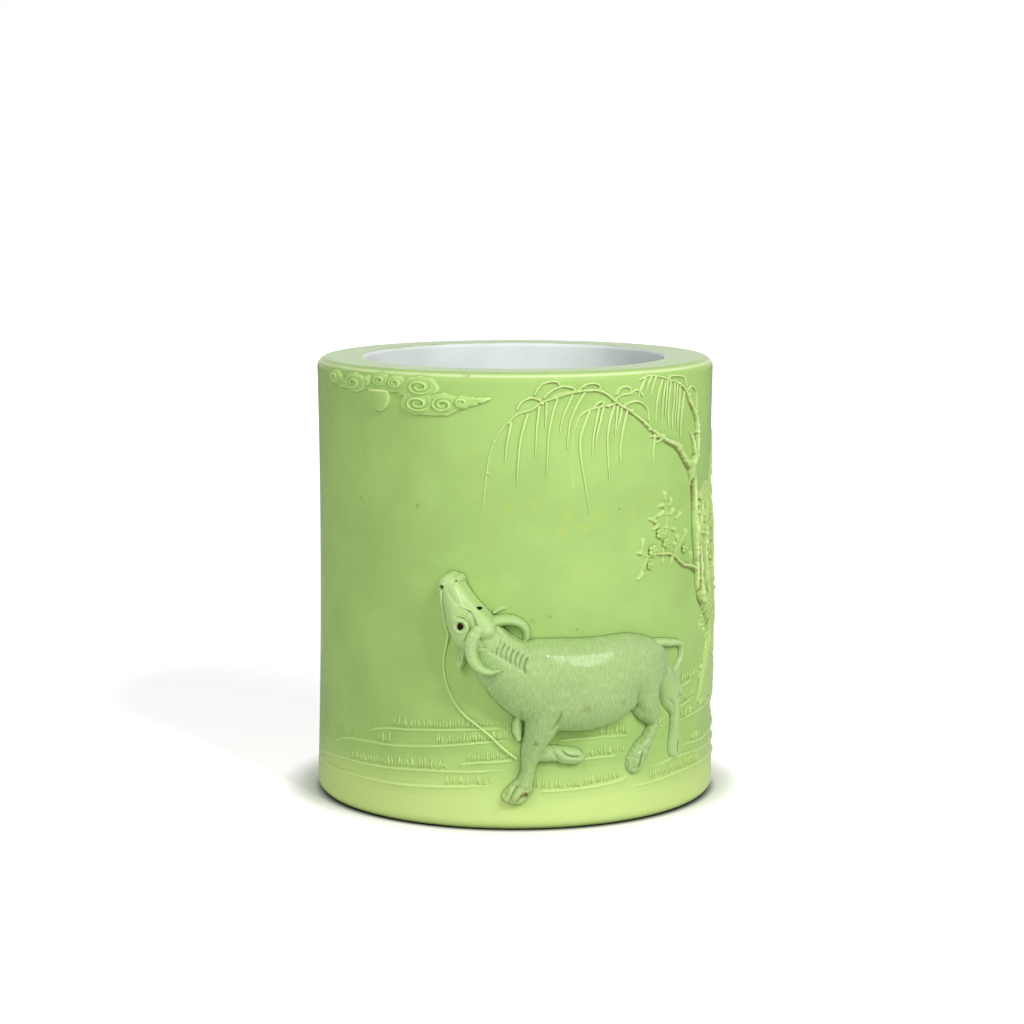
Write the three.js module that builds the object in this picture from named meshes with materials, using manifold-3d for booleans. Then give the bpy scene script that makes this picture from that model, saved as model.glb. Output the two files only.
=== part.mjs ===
// A brush pot of lime-green enamelled porcelain with a buffalo, a willow, a prunus bough and clouds
// in relief. Units are millimetres. +Z is up, the pot stands on z = 0 and the buffalo faces -Y.

import * as THREE from 'three';
import { mergeVertices } from 'three/addons/utils/BufferGeometryUtils.js';
import Module from 'manifold-3d';

const wasm = await Module();
wasm.setup();

// Pot body
const POT_HEIGHT = 130;
const RIM_RADIUS = 58.8;
const WAIST_DRAW_IN = 0.45;
const FOOT_FLARE = 0.9;
const WALL_THICKNESS = 14.5;
const RIM_ROUND = 3;
const MOUTH_ROUND = 1.2;
const FOOT_ROUND = 3.2;
const FLOOR_THICKNESS = 9;
const FLOOR_COVE = 3;
const SLAB_REBATE = 3.5;
const FOOT_BEVEL = 1;

// Every applied piece is luted on with this much slip under it and round it
const LUTE_GAP = 0.3;

// Girth positions are measured on a circle this far inside the rim, where 1 mm is close to 1 degree
const CHART_INSET = 1.5;
const CHART_RADIUS = RIM_RADIUS - CHART_INSET;

// Levels that the relief hangs from or stands on
const FORK_DROP = 30;
const ROOT_LEVEL = 42;
const FORK_LEVEL = POT_HEIGHT - FORK_DROP;
const BOUGH_LEVEL = (ROOT_LEVEL + FORK_LEVEL) / 2;

// Relief heights
const CLOUD_HEIGHT = 1;
const SCROLL_HEIGHT = 0.7;
const SCROLL_WIDTH = 0.42;
const MOON_RADIUS = 4.6;
const MOON_HEIGHT = 0.8;
const FROND_WIDTH = 0.4;
const FROND_HEIGHT = 0.45;
const LOOP_WIDTH = 0.3;
const BANK_HEIGHT = 0.8;
const BANK_WIDTH = 1.1;
const GRASS_HEIGHT = 2;
const GRASS_PITCH = 3;
const GRASS_DEPTH = 0.6;
const GRASS_ROOT = 0.6;
const GRASS_TIP = 0.2;
const ROPE_WIDTH = 0.4;
const ROPE_OVER = BANK_HEIGHT + 3 * LUTE_GAP + 2 * ROPE_WIDTH;
const PETAL_LENGTH = 1.05;
const PETAL_WIDTH = 0.75;
const BLOSSOM_HEIGHT = 1.4;
const PETALS = 5;
const BUD_HEIGHT = 0.45;
const BUD_WIDTH = 0.6;
const STALK_WIDTH = 0.25;

// Where strands join a limb or each other, their backs lie in steps of this much above its own
const STRAND_STEP = 0.06;

const END_REACH = 0.7;
const EYE_RADIUS = 1.3;
const FAR_EYE_RADIUS = 0.8;

// Mesh fineness
const LATHE_SEGMENTS = 60;
const WALL_SPANS = 4;
const ROUND_SPANS = 3;
const ROPE_SIDES = 6;
const LIMB_SIDES = 8;
const FORM_SIDES = 12;
const MERGE_TOLERANCE = 1e-4;
const CRUMB_VOLUME = 0.2;
const SLIVER = 0.02;

const glaze = {
  green: material(0xa6c873, 0.22),
  relief: material(0xb6d68a, 0.24),
  buffalo: material(0xaccd84, 0.18),
  biscuit: material(0xe9e3d2, 0.75),
  eye: material(0x2a1a12, 0.12),
};

function material(color, roughness) {
  return new THREE.MeshStandardMaterial({ color, roughness, metalness: 0 });
}

// Radius of the outer wall at a height: a curve through foot, waist and rim, with both edges rounded
function wallRadiusAt(z) {
  const level = THREE.MathUtils.clamp(z, 0, POT_HEIGHT);
  const share = level / POT_HEIGHT;
  const foot = RIM_RADIUS + FOOT_FLARE;
  const waist = RIM_RADIUS - WAIST_DRAW_IN;
  const radius = foot * (1 - share) * (1 - 2 * share)
    + waist * 4 * share * (1 - share)
    + RIM_RADIUS * share * (2 * share - 1);
  const overRim = Math.max(0, level - (POT_HEIGHT - RIM_ROUND));
  const underFoot = Math.max(0, FOOT_ROUND - level);
  return radius
    - (RIM_ROUND - Math.sqrt(RIM_ROUND ** 2 - overRim ** 2))
    - (FOOT_ROUND - Math.sqrt(FOOT_ROUND ** 2 - underFoot ** 2));
}

// A point on the pot, from its girth position, its height and how far it stands off the wall
function chartPoint(girth, z, off) {
  const angle = girth / CHART_RADIUS;
  const radius = wallRadiusAt(z) + off;
  return new THREE.Vector3(radius * Math.sin(angle), -radius * Math.cos(angle), z);
}

function toSolid(geometry) {
  const bare = geometry.clone();
  bare.deleteAttribute('normal');
  bare.deleteAttribute('uv');
  const merged = mergeVertices(bare, MERGE_TOLERANCE);
  return new wasm.Manifold(new wasm.Mesh({
    numProp: 3,
    vertProperties: new Float32Array(merged.attributes.position.array),
    triVerts: new Uint32Array(merged.index.array),
  }));
}

function toGeometry(solid) {
  const mesh = solid.getMesh();
  const geometry = new THREE.BufferGeometry();
  geometry.setAttribute('position', new THREE.BufferAttribute(new Float32Array(mesh.vertProperties), 3));
  geometry.setIndex(new THREE.BufferAttribute(new Uint32Array(mesh.triVerts), 1));
  geometry.computeVertexNormals();
  return geometry;
}

function join(solids) {
  return solids.reduce((whole, solid) => whole.add(solid));
}

const group = new THREE.Group();

function place(name, finish, geometry) {
  const mesh = new THREE.Mesh(geometry, finish);
  mesh.name = name;
  group.add(mesh);
}

// Profile of the outer wall between two heights, as lathe points
function wallProfile(from, to, off, spans) {
  return Array.from({ length: spans + 1 }, (_, i) => {
    const z = THREE.MathUtils.lerp(from, to, i / spans);
    return new THREE.Vector2(wallRadiusAt(z) + off, z);
  });
}

function outerProfile(off) {
  return [
    ...wallProfile(0, FOOT_ROUND, off, ROUND_SPANS),
    ...wallProfile(FOOT_ROUND, POT_HEIGHT - RIM_ROUND, off, WALL_SPANS).slice(1),
    ...wallProfile(POT_HEIGHT - RIM_ROUND, POT_HEIGHT, off, ROUND_SPANS).slice(1),
  ];
}

function arcProfile(centre, radius, fromAngle, toAngle, spans) {
  return Array.from({ length: spans + 1 }, (_, i) => {
    const angle = THREE.MathUtils.lerp(fromAngle, toAngle, i / spans);
    return new THREE.Vector2(centre.x + radius * Math.cos(angle), centre.y + radius * Math.sin(angle));
  });
}

// The pot's outer skin as a solid of revolution, used to seat relief on the wall or to face it
function skin(off) {
  const margin = 10;
  const profile = [
    new THREE.Vector2(0, -margin),
    new THREE.Vector2(wallRadiusAt(0) + off, -margin),
    ...outerProfile(off),
    new THREE.Vector2(wallRadiusAt(POT_HEIGHT) + off, POT_HEIGHT + margin),
    new THREE.Vector2(0, POT_HEIGHT + margin),
  ];
  return toSolid(lathe(profile));
}

// LatheGeometry turns about Y, so the profile is laid over on to Z
function lathe(profile) {
  const geometry = new THREE.LatheGeometry(profile, LATHE_SEGMENTS);
  geometry.rotateX(Math.PI / 2);
  return geometry;
}

const innerRadius = RIM_RADIUS - WALL_THICKNESS;
const rebateRadius = innerRadius + SLAB_REBATE;

function potWall() {
  const mouthRound = Math.min(MOUTH_ROUND, WALL_THICKNESS / 4);
  const cove = new THREE.Vector2(innerRadius - FLOOR_COVE, FLOOR_THICKNESS + LUTE_GAP + FLOOR_COVE);
  const mouth = new THREE.Vector2(innerRadius + mouthRound, POT_HEIGHT - mouthRound);
  const shoulder = FLOOR_THICKNESS + LUTE_GAP;
  const profile = [
    ...outerProfile(0),
    ...arcProfile(mouth, mouthRound, Math.PI / 2, Math.PI, 2),
    ...arcProfile(cove, FLOOR_COVE, 0, -Math.PI / 2, 3),
    new THREE.Vector2(rebateRadius, shoulder),
    new THREE.Vector2(rebateRadius, FOOT_BEVEL),
    new THREE.Vector2(rebateRadius + FOOT_BEVEL, 0),
    new THREE.Vector2(wallRadiusAt(0), 0),
  ];
  return toSolid(lathe(profile));
}

// The floor is a thrown slab let up into a rebate inside the foot
function baseSlab() {
  const radius = rebateRadius - LUTE_GAP;
  const bevel = Math.min(FOOT_BEVEL, FLOOR_THICKNESS / 4);
  const profile = [
    new THREE.Vector2(0, 0),
    new THREE.Vector2(radius - bevel, 0),
    new THREE.Vector2(radius, bevel),
    new THREE.Vector2(radius, FLOOR_THICKNESS),
    new THREE.Vector2(0, FLOOR_THICKNESS),
  ];
  return toSolid(lathe(profile));
}

const core = skin(LUTE_GAP);

// Sections as [across, off the wall] in shares of half width and height, anticlockwise
const RIDGE = [[1, 0], [0, 1], [-1, 0]];
const HALF_ROUND = [[1, 0], [0.8, 0.65], [0, 1], [-0.8, 0.65], [-1, 0]];
const TERRACE = [[1, 0], [0.8, 1], [-1, 0.4], [-1, 0]];

function round(sides) {
  return Array.from({ length: sides }, (_, k) => {
    const turn = (2 * Math.PI * k) / sides;
    return [Math.cos(turn), Math.sin(turn)];
  });
}

const MODELLED = { section: round(FORM_SIDES) };
const LIMB = { section: round(LIMB_SIDES) };
const ROPE_FORM = { section: round(ROPE_SIDES), spans: 1 };
const STRAND = { section: HALF_ROUND, seated: true };
const STOUT = { section: HALF_ROUND, spans: 1 };
const BOUGH = { section: HALF_ROUND, spans: 1, seated: true };
const THREAD = { section: RIDGE, spans: 1, seated: true };
const SHELF = { section: TERRACE, seated: true };

// A form that follows a smooth path on the wall. Each station is [girth, z, half width, height, lift]:
// its place, its size across the path and off the wall, and how far its middle stands off the wall.
// A seated form has a flat back that lies on its lute, any other is cut off there.
function sweep(stations, grow, { section = round(LIMB_SIDES), spans = 2, seated = false } = {}) {
  const sides = section.length;
  const path = new THREE.CatmullRomCurve3(
    stations.map(([girth, z, , , lift = 0]) => new THREE.Vector3(girth, z, lift)),
    false,
    'centripetal',
  );
  const rings = (stations.length - 1) * spans + 1;
  const points = [];
  const ends = [];
  for (let i = 0; i < rings; i += 1) {
    const share = i / (rings - 1);
    const middle = path.getPoint(share);
    const along = path.getTangent(share);
    const flat = Math.hypot(along.x, along.y) || 1;
    const step = new THREE.Vector2(along.x / flat, along.y / flat);
    const width = between(stations, share, 2) + grow;
    const height = between(stations, share, 3) + grow;
    const back = seated ? LUTE_GAP - grow + middle.z : middle.z;
    const rise = seated ? height - back : height;
    section.forEach(([across, out]) => {
      points.push(chartPoint(
        middle.x - step.y * width * across,
        middle.y + step.x * width * across,
        back + rise * out,
      ));
    });
    if (i === 0 || i === rings - 1) {
      const reach = (i === 0 ? -1 : 1) * width * END_REACH;
      const tip = seated ? back + rise * 0.3 : back;
      ends.push(chartPoint(middle.x + step.x * reach, middle.y + step.y * reach, tip));
    }
  }
  const form = loft(points, ends, sides);
  return seated ? form : offWall(form, grow);
}

// Cuts a form off where its lute starts. A form grown for clearance stays whole
function offWall(form, grow) {
  return grow > 0 ? form : form.subtract(core);
}

// One of the stations' sizes at a share of the way along, so that each station keeps its own size
function between(stations, share, field) {
  const spot = share * (stations.length - 1);
  const index = Math.min(Math.floor(spot), stations.length - 2);
  return THREE.MathUtils.lerp(stations[index][field], stations[index + 1][field], spot - index);
}

// Rings of points and the two end points, as one closed solid
function loft(points, ends, sides) {
  const rings = points.length / sides;
  const positions = [];
  points.forEach((point) => positions.push(point.x, point.y, point.z));
  ends.forEach((point) => positions.push(point.x, point.y, point.z));
  const first = points.length;
  const last = first + 1;
  const top = (rings - 1) * sides;
  const faces = [];
  for (let k = 0; k < sides; k += 1) {
    const next = (k + 1) % sides;
    faces.push(first, next, k);
    faces.push(last, top + k, top + next);
    for (let i = 0; i < rings - 1; i += 1) {
      const low = i * sides;
      const high = low + sides;
      faces.push(low + k, low + next, high + next);
      faces.push(low + k, high + next, high + k);
    }
  }
  const geometry = new THREE.BufferGeometry();
  geometry.setAttribute('position', new THREE.Float32BufferAttribute(positions, 3));
  geometry.setIndex(faces);
  return toSolid(geometry);
}

// A low plate with an elliptical outline, faced to follow the wall
function lobe([girth, z, wide, high], height, grow) {
  const outline = new THREE.Shape();
  outline.absellipse(0, 0, wide + grow, high + grow, 0, 2 * Math.PI);
  const reach = 12;
  const curveSegments = 6;
  const geometry = new THREE.ExtrudeGeometry(outline, { depth: reach, bevelEnabled: false, curveSegments });
  geometry.rotateX(Math.PI / 2);
  geometry.translate(0, -(wallRadiusAt(z) - reach / 2), z);
  geometry.rotateZ(girth / CHART_RADIUS);
  return toSolid(geometry).intersect(skin(height + LUTE_GAP + grow));
}

// A scroll line that winds in over a cloud's lobe
function scroll([girth, z, wide, high], grow) {
  const turns = 1.5;
  const stepsPerTurn = 6;
  const rimShare = 0.84;
  const heartShare = 0.14;
  const stations = Array.from({ length: turns * stepsPerTurn + 1 }, (_, i) => {
    const share = i / (turns * stepsPerTurn);
    const turn = -2 * Math.PI * turns * share + Math.PI / 2;
    const size = THREE.MathUtils.lerp(rimShare, heartShare, share);
    return [
      girth + wide * size * Math.cos(turn),
      z + high * size * Math.sin(turn),
      SCROLL_WIDTH,
      CLOUD_HEIGHT + SCROLL_HEIGHT,
    ];
  });
  return sweep(stations, grow, { section: RIDGE, spans: 1, seated: true });
}

const laid = [];

// Lays a piece on the wall, trimmed to every piece laid before it that it meets
function lay(name, finish, make) {
  let solid = make(0);
  const box = solid.boundingBox();
  laid.filter((piece) => boxesMeet(box, piece.box)).forEach((piece) => {
    solid = solid.subtract(piece.clearance);
  });
  const clearance = make(LUTE_GAP);
  laid.push({ clearance, box: clearance.boundingBox() });
  const whole = solid.decompose().filter((body) => body.volume() > CRUMB_VOLUME);
  place(name, finish, toGeometry(join(whole).asOriginal().simplify(SLIVER)));
}

function boxesMeet(a, b) {
  return [0, 1, 2].every((axis) => a.min[axis] < b.max[axis] && b.min[axis] < a.max[axis]);
}

function sweeps(paths, options) {
  return (grow) => join(paths.map((stations) => sweep(stations, grow, options)));
}

// Measures a list of stations down from the rim, or up from the bough that the prunus grows on
function fromRim(stations) {
  return stations.map(([girth, drop, ...rest]) => [girth, POT_HEIGHT - drop, ...rest]);
}

function fromBough(stations) {
  return stations.map(([girth, rise, ...rest]) => [girth, BOUGH_LEVEL + rise, ...rest]);
}

// Buffalo. Its stations are measured up from the foot
const BODY = [
  [-3, 46, 6, 6], [1, 44.6, 9.6, 8], [7, 42.9, 12.3, 8.7], [13, 41.9, 13.2, 8.9], [19, 41.6, 13.3, 8.8],
  [25, 42.4, 12.6, 8.2], [31, 44.4, 10.8, 7.4], [36, 44.9, 9.3, 6.4], [40, 45.2, 7.2, 5], [42.4, 45.6, 4, 3],
];
const NECK = [
  [3, 44, 9, 6.5, 1], [-1.5, 46.8, 8.6, 6.8, 1.5], [-5, 50.5, 7, 6.4, 2], [-7.6, 54.6, 5.8, 5.6, 2.4],
];
const HEAD = [
  [-8.2, 55.2, 4.6, 3.6, 5], [-10.2, 57.8, 6, 5, 5], [-12.4, 60.6, 5.5, 5, 4.8], [-14.6, 64.4, 4.1, 4.2, 4.5],
  [-16, 68, 3.4, 3.6, 4.5], [-17, 70.6, 3.2, 3.4, 4.6], [-17.6, 72, 2, 2.2, 4.8],
];
const NEAR_HORN = [
  [-9, 59.4, 1.9, 1.7, 9.4], [-10.2, 56.6, 1.9, 1.7, 9.4], [-10.8, 53.2, 1.75, 1.6, 9.2],
  [-10, 50.2, 1.6, 1.5, 9], [-8.3, 48.2, 1.4, 1.3, 8.8], [-6.2, 47.2, 1.1, 1.1, 8.5],
  [-4.2, 47.4, 0.8, 0.8, 8.4], [-2.4, 48.6, 0.3, 0.4, 8.4],
];
const FAR_HORN = [
  [-6, 61.2, 1.7, 2.8, 1.6], [-3.4, 61.6, 1.6, 2.6, 1.3], [-0.6, 61.3, 1.5, 2.3, 0.9], [1.9, 60, 1.3, 2, 0.6],
  [3.2, 57.6, 1.1, 1.6, 0.4], [2.8, 55.4, 0.8, 1.2, 0.3], [1.2, 53.8, 0.35, 0.8, 0.2],
];
const NEAR_EAR = [
  [-13, 53.2, 0.5, 0.6, 4.6], [-14, 51, 1, 0.7, 4.2], [-14.8, 48.8, 1, 0.7, 3.4], [-15.2, 47, 0.4, 0.4, 2.8],
];
const FAR_EAR = [
  [-6.4, 63.4, 0.6, 1.2], [-4, 64.7, 0.75, 1.1], [-1.6, 65, 0.3, 0.8],
];
const NEAR_EYE = [-12.9, 60.1, 9.5];
const FAR_EYE = [-9, 65, 5.6];
const NEAR_FORELEG = [
  [7, 36, 4.6, 7.5], [5.8, 31, 4, 6.4], [4.6, 27, 3.4, 5.4], [3.9, 23.6, 2.9, 4.8], [3.3, 20.2, 2.1, 4],
  [2.4, 17, 1.95, 3.8], [1.3, 14.4, 2.1, 3.8], [0.1, 12.4, 2.5, 3.9], [-1.2, 10.8, 2.5, 3.8],
  [-2.6, 10, 1.4, 3],
];
const FAR_KNEE = [
  [0.2, 33.4, 0.9, 2.4], [0.2, 31.4, 1.4, 2.9], [0.6, 29, 1.35, 2.8], [1.5, 27.2, 0.8, 2.2],
];
const FAR_FOREARM = [
  [5, 24.4, 1.8, 2.4], [8.6, 23.2, 2.2, 2.8], [12, 22.3, 2.7, 3], [14.8, 21.8, 2.6, 2.9],
  [16.6, 21.7, 1.7, 2.3],
];
const NEAR_HIND_LEG = [
  [37, 41, 5.6, 6.2], [38.4, 36, 4.6, 5.4], [39.5, 32, 2.9, 4.4], [38.8, 28.8, 2.15, 3.8],
  [36.9, 25.6, 2.1, 3.6], [35, 22.8, 2.5, 3.6], [33.7, 20, 2.9, 3.6], [33, 17.8, 3, 3.4],
  [32.8, 16.9, 2.1, 2.8],
];
const FAR_HIND_LEG = [
  [43.5, 39.5, 3.2, 2.6], [46, 37, 3.4, 2.6], [48.2, 33.6, 2.5, 2.5], [48.8, 30, 1.85, 2.3],
  [49, 26.6, 2.15, 2.3], [49.1, 23.4, 2.5, 2.3], [48.8, 20.6, 2.6, 2.2], [48.5, 18.9, 1.9, 1.8],
];
const TAIL = [
  [41, 51.2, 1.3, 2.6], [44.4, 51.3, 1.25, 2.4], [47.8, 51.1, 1.1, 2.1], [50.6, 50.7, 0.95, 1.8],
  [52, 49, 0.8, 1.6], [51.6, 46.4, 0.8, 1.5], [51, 43.6, 1, 1.5], [51.4, 40.8, 1.6, 1.6],
  [52.4, 38, 1.7, 1.4], [53.2, 35.6, 0.7, 1],
];
const RUMP_FOLD = [
  [45, 48.6, 0.6, 1.4], [45.8, 46.4, 1, 1.8], [45.7, 44, 1.3, 2], [45.5, 42.6, 1, 1.6],
];
// The rope lies over the banks that it crosses, so it stands as high as they do and a cord more
const ROPE = [
  [-18.2, 69.3, 0.35, 0.35, 8], [-18.5, 66, 0.35, 0.35, 6.4], [-18.6, 62.5, 0.35, 0.35, 4.4],
  [-18.7, 59, 0.35, 0.35, 2.8], [-18.6, 56, 0.35, 0.5, 1], [-19.3, 52.8, 0.35, 0.7], [-20.1, 49, 0.35, 0.7],
  [-20, 45, 0.35, 0.7], [-18.8, 40.6, 0.35, 0.7], [-16.6, 36.2, 0.35, 0.8], [-13.6, 32.7, 0.35, ROPE_OVER],
  [-10.2, 30.2, 0.35, ROPE_OVER], [-7, 27.6, 0.35, ROPE_OVER], [-4, 24.6, 0.35, ROPE_OVER],
].map(([girth, z, , height, lift]) => [girth, z, ROPE_WIDTH, height, lift]);

// Willow. The trunk rises from the root level; stem and limbs are measured down from the rim
const TRUNK_FOOT = [
  [86, ROOT_LEVEL - 10, 7, 2.4], [85, ROOT_LEVEL - 4, 5, 3], [82.6, ROOT_LEVEL + 5, 4.4, 3.2],
  [78.6, BOUGH_LEVEL - 15, 5, 3.6], [73.8, BOUGH_LEVEL - 9, 6.2, 4.4], [71, BOUGH_LEVEL - 3, 6.4, 4.2],
  [71.4, BOUGH_LEVEL + 4, 6, 3.6], [73, BOUGH_LEVEL + 11, 5.6, 3.2], [74, BOUGH_LEVEL + 16.5, 4.4, 2.6],
];
const TRUNK_FLUTES = [
  [[67.6, -8, 0.7, 4.3], [66.8, -1, 0.8, 4], [68, 7, 0.8, 3.8], [69.4, 15, 0.5, 2.8]],
  [[72.6, -11, 0.8, 4.9], [70.4, -3, 0.9, 4.9], [71, 6, 0.8, 4.2], [72.6, 17, 0.5, 3.2]],
  [[77, -11, 0.7, 4.4], [74.8, -3, 0.9, 4.5], [75, 6, 0.8, 4], [77, 16, 0.5, 2.8]],
];
const TRUNK_KNOTS = [
  [[65.6, 6.6, 1.6, 3.4], [67.4, 8.6, 1.9, 3.9], [66.4, 10.8, 1.2, 3]],
  [[77.5, -8, 1.5, 4.6], [78.6, -4.6, 1.7, 4.8], [77.6, -1.8, 1.1, 4]],
];
const LEFT_STEM = [
  [64, BOUGH_LEVEL - 6, 2.2, 3.2], [61, BOUGH_LEVEL, 2.4, 3.4], [59.4, BOUGH_LEVEL + 6, 2.5, 3.4],
  [59, BOUGH_LEVEL + 11, 2.7, 3.5], [59.2, BOUGH_LEVEL + 17, 2.3, 3.2], [58.6, FORK_LEVEL - 7, 2.4, 3.1],
  [57.4, FORK_LEVEL - 3, 2.6, 3.1], [57, FORK_LEVEL, 2.2, 2.8],
];
const LEFT_LIMB = [
  [56.2, FORK_DROP - 0.6, 2, 2.6], [54.2, 27.4, 1.8, 2.5], [52, 24.8, 1.6, 2.3], [49.8, 22.4, 1.5, 2.1],
  [47, 20.6, 1.25, 1.9], [44, 19, 1.1, 1.8], [41.2, 17.6, 1.1, 1.7], [38.4, 15.6, 0.95, 1.6],
  [35.2, 13, 0.85, 1.5], [32, 10.6, 0.75, 1.4], [29, 9.2, 0.65, 1.3], [25.4, 9, 0.55, 1.1],
  [22, 9.8, 0.45, 1], [19.4, 11.2, 0.35, 0.8], [17.4, 13.6, 0.3, 0.6],
];
const UPPER_LIMB = [
  [28.6, 8.2, 0.5, 1.2], [26.4, 6.5, 0.6, 1.2], [24, 5.6, 0.65, 1.2], [19.6, 5.2, 0.65, 1.2],
  [14.8, 5.8, 0.6, 1.1], [10.8, 7.1, 0.6, 1.1], [6.8, 8.1, 0.55, 1], [3.6, 9.2, 0.5, 1],
  [0, 10.7, 0.5, 0.9], [-3.9, 13.7, 0.45, 0.8], [-6.4, 17.4, 0.45, 0.8], [-7.7, 22.9, 0.4, 0.7],
  [-8.4, 29.9, 0.35, 0.6], [-9, 37.2, 0.2, 0.4],
];
const RIGHT_LIMB = [
  [58, FORK_DROP - 0.4, 1.5, 2.6], [59.2, 26, 1.5, 2.5], [59.6, 22, 1.4, 2.4], [59.5, 18, 1.2, 2.2],
  [59, 14.8, 1.1, 2], [57.6, 12.4, 1, 1.8], [56, 9.8, 0.9, 1.6], [54.2, 7.4, 0.8, 1.5],
  [52.2, 5.6, 0.7, 1.4], [49.8, 4.4, 0.6, 1.2], [47.2, 3.8, 0.5, 1.1], [45, 4.8, 0.35, 0.8],
];
const BACK_LIMB = [
  [77, 40, 1.9, 2.8], [80.6, 34, 1.6, 2.5], [85.4, 28.2, 1.35, 2.2], [91, 24, 1.1, 1.9],
  [97.2, 21.6, 0.95, 1.6], [103.4, 21.4, 0.75, 1.3], [108.6, 23.6, 0.6, 1.1], [112, 28.2, 0.5, 0.9],
  [113.8, 35, 0.45, 0.8],
];
const LEFT_LOOPS = [
  [[0.6, 10.3], [2.4, 7.8], [5, 7], [7, 7.4]],
  [[5.4, 8.3], [5.8, 5], [7.2, 3.2], [9.4, 2], [11.4, 2.4], [12.2, 3.8]],
  [[8.2, 7.7], [9.6, 4.8], [11.4, 4], [13.6, 3.5], [15.6, 4], [16.6, 5]],
  [[17.6, 5.3], [19.2, 3.4], [21, 3], [23, 3.6], [23.8, 4.9]],
  [[28.4, 7.8], [29.2, 5.6], [30.8, 4.4], [32.4, 4.7], [33.2, 5.9]],
  [[28.4, 8], [32, 7.2], [35, 8], [37.4, 9.4], [39, 11.6], [39.6, 14.2]],
];
const RIGHT_LOOPS = [
  [[48.4, 4], [45.6, 2.4], [43.4, 1.9], [41.4, 2.1], [39.8, 2.6]],
  [[52.2, 5.6], [53.2, 3.4], [54.6, 3.6], [55.8, 5.6], [56.4, 8]],
  [[56.2, 10], [57.4, 7.2], [59, 6.6], [60.4, 7.6], [61.4, 9.6], [61.6, 12.4]],
];
const LEFT_THORNS = [
  [[44, 19.4, 0.5, 1.2], [41.6, 19, 0.4, 0.9], [39.6, 19.2, 0.2, 0.6]],
  [[46, 20.9, 0.5, 1.2], [44, 21, 0.4, 0.9], [42.2, 21.4, 0.2, 0.6]],
];
const RIGHT_THORN = [[58.6, 24, 0.7, 1.6], [57, 21.4, 0.5, 1.3], [55.2, 18.8, 0.2, 0.7]];
const LEFT_FRONDS = [
  [[-1.8, 12.6], [-2.4, 18], [-3.1, 24]],
  [[3, 10], [2, 14.6], [1, 20], [0.5, 25], [0.4, 30]],
  [[5.8, 9], [5.6, 15], [5.5, 23.4]],
  [[8.6, 8.2], [8.1, 12], [7.7, 15.4]],
  [[11.2, 7.4], [10.2, 12.4], [9.2, 18], [8.7, 23], [8.5, 28.6]],
  [[14.4, 6.4], [12.9, 12], [12, 17]],
  [[18.6, 5.8], [16.6, 9.6], [14.8, 13.4], [14.3, 17], [14.1, 21]],
  [[20, 11], [17.4, 14.4], [16.2, 18], [15.9, 23], [15.9, 28], [16.3, 32]],
  [[22, 10.4], [19.1, 15], [18.1, 20], [18.4, 25], [19.4, 32], [20.2, 38], [20.6, 39.8]],
  [[23.4, 9.5], [22.1, 15.4], [21.4, 20], [21.5, 23]],
  [[25.4, 9.6], [24, 13.4], [22.8, 19]],
  [[28.2, 9.3], [26.6, 14.4], [26, 19], [26.2, 26], [26.7, 30.4]],
  [[29.8, 9.8], [28.8, 14.6], [28.2, 18]],
  [[31.8, 11.6], [30.8, 16.4], [30.2, 21], [30.2, 27]],
  [[42, 18.4], [41.7, 23], [41.5, 27]],
];
const RIGHT_FRONDS = [
  [[41, 2.1], [38.6, 4.8], [37.2, 7.4]],
  [[41.6, 2.2], [40.4, 6], [39.9, 9.4]],
  [[43.4, 2], [41.7, 7], [41, 12], [40.8, 15]],
  [[44.6, 4.6], [43, 9], [42.4, 13], [42, 16.6]],
  [[45.2, 4.6], [44.4, 10], [43.9, 15.4]],
  [[46.6, 4.6], [45.8, 10], [45.4, 15]],
  [[48.4, 4.6], [47.2, 11], [46.9, 16.6]],
  [[50.2, 5], [48.7, 11], [48.2, 17.4]],
  [[52, 6], [50.6, 12], [50, 16.6]],
  [[53.8, 7.6], [52.8, 13], [52.4, 20]],
  [[55.4, 9.4], [54.4, 14], [54, 18]],
];
const BACK_FRONDS = [
  [[87.6, 27], [86.6, 33], [86.2, 40], [86.4, 46]],
  [[91, 24.6], [89.8, 31], [89.4, 38]],
  [[94.4, 23], [93, 31], [92.6, 40], [92.9, 50]],
  [[97.8, 22], [96.4, 29], [96, 37]],
  [[101.2, 21.8], [99.8, 30], [99.4, 39], [99.6, 47]],
  [[104.4, 22], [103.4, 29], [103, 36]],
  [[107.6, 23.6], [106.8, 31], [106.6, 40], [106.9, 52]],
  [[111, 27], [110.4, 34], [110.6, 42]],
];
const CROWN_TUFT = [
  [[70, 15, 0.8, 2], [67.6, 18.6, 0.7, 1.7], [66, 21.4, 0.3, 1]],
  [[73.4, 16, 0.9, 2.2], [72.6, 19.4, 0.8, 1.9], [72.8, 22.4, 0.3, 1.1]],
  [[77, 14.6, 0.9, 2.2], [79.6, 18.4, 0.8, 1.9], [82.4, 21, 0.3, 1.1]],
];

// Prunus, measured up from the bough level
const PRUNUS_BRANCH = [
  [62.8, -1, 0.8, 1.9], [59.6, 0.4, 0.7, 1.6], [56.4, 1, 0.6, 1.4], [53.8, 2.4, 0.55, 1.3],
  [51.4, 4.2, 0.5, 1.2], [49, 5.3, 0.5, 1.1], [46.2, 5.5, 0.45, 1], [43.4, 5.7, 0.4, 0.9],
  [40.4, 5.4, 0.35, 0.8], [38, 6.6, 0.25, 0.6],
];
const PRUNUS_SPRIG = [
  [46.4, 5.4, 0.4, 0.7], [47, 9.6, 0.35, 0.7], [48, 13, 0.3, 0.7], [48.2, 17, 0.3, 0.7],
  [47.6, 20, 0.25, 0.6],
].map((station) => [...station, STRAND_STEP / 2]);
const BLOSSOMS = [[44.9, 11.6], [47.4, 8.6], [56.4, 5.8], [42, 6.9], [41, 2.7]];
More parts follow.
